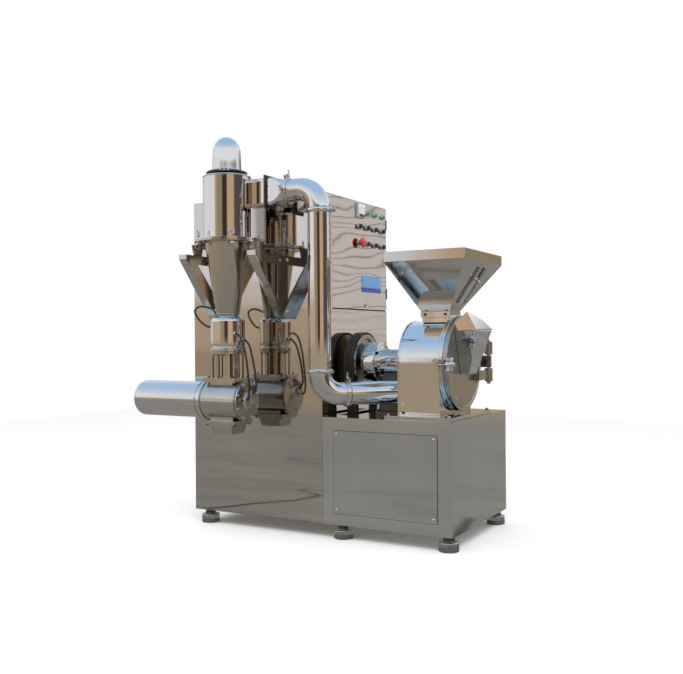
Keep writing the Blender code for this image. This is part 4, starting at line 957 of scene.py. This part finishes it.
def build_crusher_door():
    """The door with its chute, hood, hinge arms and lug, and the star knob it carries."""
    cast = {"slot": "cast_steel", "body": "crusher_door"}
    centre = at(0, MILL_Y, MILL_Z)
    face, rim = DOOR_LEFT, RING_RADIUS - 0.002
    dress(lathe("door_disc", [
        (0.040, face), (rim - 0.001, face), (rim, face + 0.001), (rim, face + 0.017),
        *arc((rim - 0.006, face + 0.017), (0.006, 0.005), 0, 90, 6),
        (rim - 0.016, face + 0.0215), (rim - 0.020, face + 0.019), (0.040, face + 0.019)],
        centre, X, 128, True), "cast", node="crusher_door", **cast)
    near, low_y, high_y = face + 0.0195, MILL_Y - 0.120, MILL_Y + 0.090
    chute = solid("door_chute", [
        [at(x, y, z) for x, y in ((near, low), (near + depth, low), (near + depth, high),
                                  (near, high))]
        for z, depth, low, high in ((MILL_Z - 0.052, 0.0445, MILL_Y - 0.048, MILL_Y + 0.045),
                                    (MILL_Z + 0.153, 0.1065, low_y, high_y))])
    dress(bevelled(chute, 0.0015), **cast)
    hood = solid("chute_hood", [
        [at(x, y, MILL_Z + z) for x, z in ((near, 0.1545), (near, eaves), (near + 0.062, ridge),
                                           (near + 0.1075, 0.160), (near + 0.1075, 0.1545))]
        for y, eaves, ridge in ((low_y - 0.003, 0.186, 0.243), (high_y + 0.003, 0.166, 0.203))])
    dress(bevelled(hood, 0.0015), **cast)
    form = bmesh.new()
    pivot = CORNER + DOOR_HINGE
    for low_z, high_z, reach in ((MILL_Z + 0.034, MILL_Z + 0.100, 0.10),
                                 (MILL_Z - 0.100, MILL_Z - 0.034, 0.13)):
        add_box(form, at(near, MILL_Y + reach, low_z + 0.010),
                at(face + 0.046, DOOR_HINGE.y - 0.010, high_z - 0.010), 0.003)
        add_lathe(form, [(0.0001, low_z), (0.019, low_z), (0.020, low_z + 0.001),
                         (0.020, high_z - 0.001), (0.019, high_z), (0.0001, high_z)], pivot, Z, 40)
    add_lathe(form, [(0, MILL_Z - 0.112), (0.010, MILL_Z - 0.112), (0.010, MILL_Z - 0.101),
                     (0.0075, MILL_Z - 0.0995), (0.0075, MILL_Z + 0.110), (0, MILL_Z + 0.112)],
              pivot, Z, 24)
    dress(make("door_hinge_arms", form, 40), "cast", **cast)
    form = bmesh.new()
    for low_z, high_z in LUG_EARS:
        add_box(form, at(face + 0.0006, 0.050, MILL_Z + low_z),
                at(face + 0.0214, 0.108, MILL_Z + high_z), 0.0015)
    dress(make("door_lug", form, 50), "cast", **cast)
    form = bmesh.new()
    for degrees in (200, 235, 300, 330, 20, 120):
        turn = math.radians(degrees)
        spot = centre + Vector((face + 0.0188, 0.196 * math.cos(turn), 0.196 * math.sin(turn)))
        add_bolt(form, spot, X, 0.0065, 0.006)
    dress(make("door_bolts", form), **cast)
    knob_at = at(face, 0.070, MILL_Z)
    form = bmesh.new()
    add_lathe(form, [(0, -0.029), (0.0068, -0.029), (0.0068, 0.0235), (0.015, 0.0235),
                     (0.017, 0.026), (0.019, 0.034), (0.0185, 0.050), (0.015, 0.055),
                     (0.012, 0.063), (0.008, 0.066), (0, 0.066)], knob_at, X, 40)
    for spoke in spokes(4):
        add_lathe(form, [(0, 0), (0.008, 0), (0.0065, 0.012), (0.0085, 0.020), (0.0095, 0.025),
                         (0.0075, 0.031), (0, 0.033)], knob_at + X * 0.041 + spoke * 0.010,
                  spoke, 24)
    dress(make("star_knob", form), body="clamp_knob", node="clamp_knob")


# ---------------------------------------------------------------- drive

PULLEY_RADIUS, MOTOR_PULLEY_RADIUS = 0.14, 0.06
PULLEY_LEFT, PULLEY_RIGHT, MOTOR_Z = 0.028, 0.083, 0.235


def build_drive():
    axis = at(0, MILL_Y, MILL_Z)
    width, groove, pitch, belts = PULLEY_RIGHT - PULLEY_LEFT, 0.010, 0.0125, 4
    for name, middle, radius, body, node, hub in (
            ("large_pulley", axis, PULLEY_RADIUS, "mill_rotor", "mill_pulley", 0.0203),
            ("small_pulley", at(0, MILL_Y, MOTOR_Z), MOTOR_PULLEY_RADIUS, "motor_pulley",
             "motor_pulley", 0.0)):
        profile = [(hub, 0.0), (radius, 0.0)]
        for index in range(belts):
            left = 0.003 + index * pitch
            profile += [(radius, left), (radius - groove, left + 0.0035),
                        (radius - groove, left + 0.008), (radius, left + 0.0115)]
        profile += [(radius, width), (radius - 0.020, width), (radius - 0.026, width - 0.012),
                    (0.048, width - 0.012), (0.044, width), (hub, width)]
        dress(lathe(name, profile, middle + X * PULLEY_LEFT, X, 96, hub > 0),
              "cast", "cast_steel", body, node)
    lean = math.asin((PULLEY_RADIUS - MOTOR_PULLEY_RADIUS) / (MILL_Z - MOTOR_Z))
    form = bmesh.new()
    for index in range(belts):
        left = PULLEY_LEFT + 0.004 + index * pitch
        rings = []
        for extra, x in ((0.011, left), (0.011, left + 0.0095), (0.0008, left + 0.008),
                         (0.0008, left + 0.0015)):
            rings.append([form.verts.new(at(x, MILL_Y + a, b)) for radius, middle, ends, count in (
                (PULLEY_RADIUS + extra, MILL_Z, (-lean, math.pi + lean), 56),
                (MOTOR_PULLEY_RADIUS + extra, MOTOR_Z, (math.pi + lean, math.tau - lean), 28))
                for a, b in arc((0, middle), (radius, radius), *map(math.degrees, ends), count)])
        join_rings(form, *rings, rings[0])
    dress(make("v_belts", form, 40), "rubber", "black_rubber", node="drive_belts")
    start = PULLEY_RIGHT + 0.012
    end = HOUSING_LEFT - 0.0012 - start
    dress(lathe("bearing_drum", [
        (0.022, 0), (0.094, 0), *arc((0.094, 0.006), (0.006, 0.006), -90, 0, 5),
        *arc((0.092, 0.068), (0.008, 0.008), 0, 90, 6), (0.068, 0.078), (0.066, 0.082),
        (0.066, end - 0.018), (0.078, end - 0.017), (0.080, end - 0.015), (0.080, end),
        (0.022, end)], axis + X * start, X, 96, True), node="bearing_housing")
    form = bmesh.new()
    for spoke in spokes(8):
        add_bolt(form, axis + X * (start + end - 0.0172) + spoke * 0.0725, -X, 0.005, 0.005)
    dress(make("bearing_bolts", form))
    pedestal = solid("bearing_pedestal", [
        [at(x, y, z) for x, y in ((x0, y0), (x1, y0), (x1, y1), (x0, y1))]
        for x0, x1, y0, y1, z in ((0.180, 0.312, 0.240, 0.380, HOUSING_BOTTOM + 0.016),
                                  (0.195, 0.300, 0.262, 0.358, MILL_Z - 0.052))])
    dress(bevelled(pedestal, 0.003), "dark")
    form = bmesh.new()
    add_box(form, at(0.172, 0.225, HOUSING_BOTTOM), at(0.320, 0.395, HOUSING_BOTTOM + 0.0155),
            0.002)
    for x in (0.180, 0.312):
        for y in (0.233, 0.387):
            add_bolt(form, at(x, y, HOUSING_BOTTOM + 0.0156), Z, 0.0075, 0.007)
    dress(make("pedestal_foot", form), "dark")
    repaint("drive_motor", "paint", 0.003)
    repaint("hammer_rotor", "cast", 0.001)
    repaint("ring_screen", "satin")
    form = bmesh.new()
    for index in range(20):
        turn = math.radians(-40 + 260 * index / 19)
        outward = Vector((0, math.cos(turn), math.sin(turn)))
        matrix = Matrix.Translation(at(start + 0.165, MILL_Y, MOTOR_Z) + outward * 0.1025)
        add_box(form, (-0.125, -0.0015, -0.004), (0.125, 0.0015, 0.006), 0,
                matrix @ Matrix.Rotation(turn - math.pi / 2, 4, "X"))
    dress(make("motor_fins", form), "paint", "grey_paint")


# ---------------------------------------------------------------- hopper

HOPPER_LOW, HOPPER_HIGH = Vector((0.314, 0.04, 1.313)), Vector((0.715, 0.545, 1.36))
THROAT_LOW, THROAT_HIGH = Vector((0.412, 0.245, 1.055)), Vector((0.56, 0.375, 1.16))


def build_hopper():
    """A folded sheet funnel: upright rim with a turned-in lip, slopes and collar."""
    low, high, neck_low, neck_high = HOPPER_LOW, HOPPER_HIGH, THROAT_LOW, THROAT_HIGH
    form = bmesh.new()
    shells = [[[form.verts.new(at(x, y, z)) for x, y in (
        (lower.x + wall, lower.y + wall), (upper.x - wall, lower.y + wall),
        (upper.x - wall, upper.y - wall), (lower.x + wall, upper.y - wall))]
        for lower, upper, z in ((neck_low, neck_high, neck_low.z + 0.0002),
                                (neck_low, neck_high, neck_low.z + 0.030),
                                (low, high, low.z), (low, high, high.z - 0.0001))]
        for wall in (0.0, 0.0025)]
    join_rings(form, *shells[0], *reversed(shells[1]), shells[0][0])
    dress(bevelled(make("hopper", form, 15), 0.0011, 12), "hopper", node="feed_hopper")
    form = bmesh.new()
    top, edge, lip, seam = high.z - 0.0002, 0.003, 0.015, 0.0155
    for x0, y0, x1, y1 in ((low.x + edge, low.y + edge, high.x - edge, low.y + lip),
                           (low.x + edge, high.y - lip, high.x - edge, high.y - edge),
                           (low.x + edge, low.y + seam, low.x + lip, high.y - seam),
                           (high.x - lip, low.y + seam, high.x - edge, high.y - seam)):
        add_box(form, at(x0, y0, top - 0.004), at(x1, y1, top - 0.001))
    dress(make("hopper_lip", form))
    form = bmesh.new()
    z0, z1, thick, seam = neck_low.z + 0.002, neck_low.z + 0.028, 0.0022, 0.0003
    left, right, near, far = neck_low.x, neck_high.x, neck_low.y, neck_high.y
    for x0, y0, x1, y1 in ((left - thick, near - thick, right + thick, near - seam),
                           (left - thick, far + seam, right + thick, far + thick),
                           (right + seam, near, right + thick, far),
                           (left - thick, near, left - seam, far)):
        add_box(form, at(x0, y0, z0), at(x1, y1, z1), 0.0006)
    dress(make("throat_collar", form))
    form = bmesh.new()
    for x in (left + 0.022, right - 0.022):
        for y, axis in ((near - thick, -Y), (far + thick, Y)):
            add_bolt(form, at(x, y, (z0 + z1) / 2), axis, 0.0075, 0.006)
    dress(make("collar_screws", form), "dark")
    slope = Vector((high.x - right, 0, low.z - neck_low.z - 0.03)).normalized()
    outward = Vector((slope.z, 0, -slope.x))
    turn = Matrix((outward, (0, 1, 0), slope)).transposed().to_4x4()
    start = at(right, MILL_Y - 0.035, neck_low.z + 0.03) + outward * 0.0008 + slope * 0.045
    place = Matrix.Translation(start) @ turn
    form = bmesh.new()
    for low_x, low_y, high_x, high_y in (
            (-0.0004, -0.013, 0.0036, -0.0006), (-0.0004, 0.0706, 0.0036, 0.083),
            (0.0044, -0.013, 0.0066, 0.006), (0.0044, 0.064, 0.0066, 0.083)):
        add_box(form, (low_x, low_y, 0.002), (high_x, high_y, 0.200), 0.0005, place)
    for y in (-0.0035, 0.0735):
        for z in (0.020, 0.100, 0.185):
            add_bolt(form, place @ Vector((0.0066, y, z)), outward, 0.0042, 0.0035)
    dress(make("gate_guides", form), "satin")
    form = bmesh.new()
    add_box(form, (0.0002, 0.0002, 0.0), (0.0038, 0.0698, 0.150), matrix=place)
    add_lathe(form, [(0, 0.0036), (0.0055, 0.0036), (0.005, 0.014), (0.0085, 0.018),
                     (0.009, 0.024), (0.007, 0.0295), (0, 0.030)],
              place @ Vector((0, 0.035, 0.135)), outward, 32)
    dress(make("gate_plate", form), "mirror", "satin_steel", "feed_gate", "feed_gate")


# ---------------------------------------------------------------- cabinet, base and feet

CABINET = Vector((0.775, 0.704, 1.6))


def build_cabinet():
    repaint("cabinet_front_lower", "dull_sheet", 0.0015)
    repaint("cabinet_front_upper", "mirror_sheet", 0.0015)
    repaint("control_door", "side_sheet", 0.0012)
    repaint("cabinet_top", "mirror_sheet", 0.001)
    repaint("cabinet_rear_shell", "dull_sheet", 0.001)
    repaint("cabinet_floor", "satin", 0.001)
    repaint("filter_tube_sheet", "satin")
    repaint("filter_cartridge", "cloth")
    repaint("fan_motor", "paint", 0.004)
    repaint("fan_impeller", "satin")
    build_rear()
    build_controls()


def build_rear():
    """Louvres and door screws on the plain back of the cabinet."""
    form = bmesh.new()
    back = CABINET.y + 0.0002
    for column in (-0.57, -0.205):
        for row in range(9):
            z = 1.36 + row * 0.026
            corners = ((-0.09, 0, 0.006), (0.09, 0, 0.006), (0.09, 0.012, 0.0008),
                       (-0.09, 0.012, 0.0008))
            add_solid(form, [[at(column + x, back + out * far, z + rise)
                              for x, rise, out in corners] for far in (0, 1)])
    dress(make("rear_louvres", form, 20), "satin", "satin_steel")
    form = bmesh.new()
    for x in (-CABINET.x + 0.025, -0.030):
        for row in range(6):
            add_bolt(form, at(x, back, 0.14 + row * 0.29), Y, 0.0055, 0.003, 20)
    dress(make("rear_screws", form), "mirror", "satin_steel")


def build_controls():
    door = "control_door"
    columns = [0.388 + 0.089 * index for index in range(4)]
    bezels = bmesh.new()
    for row, z in enumerate((1.54, 1.455)):
        for column, y in enumerate(columns):
            add_lathe(bezels, [(0.0126, 0.0002), (0.0155, 0.0002), (0.0155, 0.004),
                               (0.0145, 0.0065), (0.0135, 0.007), (0.0126, 0.0066)],
                      at(0, y, z), X, 48, True)
            if row == 1 and column == 0:
                dress(lathe("stop_cap", [
                    (0, -0.012), (0.0104, -0.012), (0.0104, 0.0176), (0.024, 0.018),
                    *arc((0.024, 0.021), (0.002, 0.0028), -80, 0, 4),
                    *arc((0, 0.024), (0.0255, 0.01), 8, 90, 10)[:-1], (0, 0.034)],
                    at(0, y, z), X, 64), "red", "red_plastic", "stop_mushroom", "stop_mushroom")
            else:
                number = row * 4 + column + 1
                name = f"push_button_{number}"
                dress(lathe(f"button_cap_{number}", [
                    (0, -0.012), (0.0119, -0.012), (0.0119, 0.016),
                    *arc((0.0099, 0.0165), (0.002, 0.003), 0, 80, 5), (0.006, 0.019),
                    (0, 0.0185)], at(0, y, z), X, 48), "black", "black_plastic", name, name)
    dress(make("button_bezels", bezels), body=door)
    rims, lenses = bmesh.new(), bmesh.new()
    for y in (0.477, 0.566, 0.655):
        add_lathe(rims, [(0.0118, 0.0002), (0.0155, 0.0002), (0.0155, 0.004), (0.013, 0.0075),
                         (0.0118, 0.0075)], at(0, y, 1.618), X, 48, True)
        add_lathe(lenses, [(0, 0.0004), (0.0115, 0.0004), (0.0115, 0.01),
                           *arc((0, 0.01), (0.0115, 0.0075), 10, 90, 8)[:-1], (0, 0.0175)],
                  at(0, y, 1.618), X, 48)
    dress(make("lamp_rims", rims), body=door)
    dress(make("green_lamps", lenses), "green", "black_plastic", door)
    meter = bmesh.new()
    add_box(meter, at(0.0002, 0.358, 1.584), at(0.012, 0.434, 1.66), 0.002)
    dress(make("meter_case", meter, 50), "case", "black_plastic", door)
    face = bmesh.new()
    add_box(face, at(0.0122, 0.362, 1.588), at(0.014, 0.43, 1.656), 0.0006)
    dress(make("meter_face", face, 50), "pale", "black_plastic", door)
    dial = bmesh.new()
    for index in range(9):
        turn = math.radians(35 + 110 * index / 8)
        spoke = Vector((0, -math.cos(turn), math.sin(turn)))
        matrix = Matrix.Translation(at(0.0142, 0.396, 1.6) + spoke * 0.04) @ turn_to(spoke)
        add_box(dial, (-0.0006, -0.0002, -0.003), (0.0006, 0.0002, 0.003), 0,
                matrix @ Matrix.Rotation(math.pi / 2, 4, "Z"))
    needle = Vector((0, -0.45, 0.89)).normalized()
    add_box(dial, (-0.0005, -0.0003, 0.0), (0.0005, 0.0003, 0.036), 0,
            Matrix.Translation(at(0.0144, 0.396, 1.6)) @ turn_to(needle))
    add_box(dial, at(0.0142, 0.366, 1.5885), at(0.015, 0.426, 1.604), 0.0004)
    dress(make("meter_dial", dial), "black", "black_plastic", door)
    for name, finish, low_z, high_z in (("notice_upper", "light_blue", 1.2242, 1.288),
                                        ("notice_lower", "blue", 1.2, 1.224)):
        form = bmesh.new()
        add_box(form, at(0.0002, 0.412, low_z), at(0.0014, 0.632, high_z), 0.0003)
        dress(make(name, form, 50), finish, "black_plastic", door)
    form = bmesh.new()
    add_lathe(form, [(0, 0), (0.013, 0), (0.013, 0.003), (0.0115, 0.005), (0.006, 0.005),
                     (0.0055, 0.004), (0, 0.004)], at(0.0002, 0.46, 1.132), X, 48)
    add_box(form, at(0.004, 0.459, 1.1275), at(0.0062, 0.461, 1.1365), 0.0003)
    dress(make("door_lock", form), body=door)
    form = bmesh.new()
    for z in (1.2, 1.39, 1.58):
        add_lathe(form, rod(0.005, -0.028, 0.028),
                  at(0, CABINET.y, z), Z, 24)
    dress(make("door_hinges", form))


def build_base():
    repaint("base_shell", "base_sheet", 0.0015)
    repaint("base_front_panel", "panel_sheet", 0.0008)
    form = bmesh.new()
    for x in (0.078, 0.577):
        for z in (0.143, 0.502):
            add_lathe(form, [(0, 0), (0.0075, 0), (0.007, 0.0015), (0.0045, 0.003), (0, 0.0034)],
                      at(x, -0.0031, z), -Y, 28)
    dress(make("panel_screws", form))
    form = bmesh.new()
    seam = 0.0022
    low_x, high_x, low_z, high_z = 0.061, 0.594, 0.126, 0.519
    for a, b in (((low_x - seam, low_z - seam), (high_x + seam, low_z - 0.0002)),
                 ((low_x - seam, high_z + 0.0002), (high_x + seam, high_z + seam)),
                 ((low_x - seam, low_z), (low_x - 0.0002, high_z)),
                 ((high_x + 0.0002, low_z), (high_x + seam, high_z))):
        add_box(form, at(a[0], -0.0012, a[1]), at(b[0], -0.0001, b[1]), 0)
    dress(make("panel_seal", form), "rubber", "black_rubber")


def build_feet():
    """Machine feet: a rubber pad in a steel cup, with a threaded stem and its nut."""
    for kind, count in (("cabinet_foot", 2), ("base_foot", 4)):
        for number in range(1, count + 1):
            node = f"{kind}_{number}"
            middle = centre_of(node)
            place = Vector((middle.x, middle.y, 0))
            dress(lathe(node + "_pad", [
                (0, 0), (0.043, 0), *arc((0.042, 0.004), (0.004, 0.004), -80, 0, 4),
                (0.046, 0.02), (0.0455, 0.021), (0, 0.021)], place, Z, 72),
                  "foot_rubber", "black_rubber", node=node)
            dress(lathe(node + "_cup", [
                (0, 0.0214), (0.0455, 0.0214), (0.046, 0.022), (0.046, 0.038),
                *arc((0.04, 0.038), (0.006, 0.006), 0, 80, 5), (0.03, 0.046), (0.03, 0.0475),
                (0, 0.0475)], place, Z, 72), "satin", "satin_steel")
            form = bmesh.new()
            add_lathe(form, [(0, 0), (0.028, 0), (0.028, 0.012), (0.026, 0.0135), (0, 0.0135)],
                      place + Z * 0.0478, Z, 6)
            add_lathe(form, rod(0.014, 0.0615, 0.0695), place, Z, 32)
            dress(make(node + "_stem", form), "dark", "satin_steel")


build_camera()
build_air_tubes()
build_surroundings()
build_cyclone()
build_brackets()
build_ducts()
build_housing()
build_crusher_door()
build_drive()
build_hopper()
build_cabinet()
build_base()
build_feet()
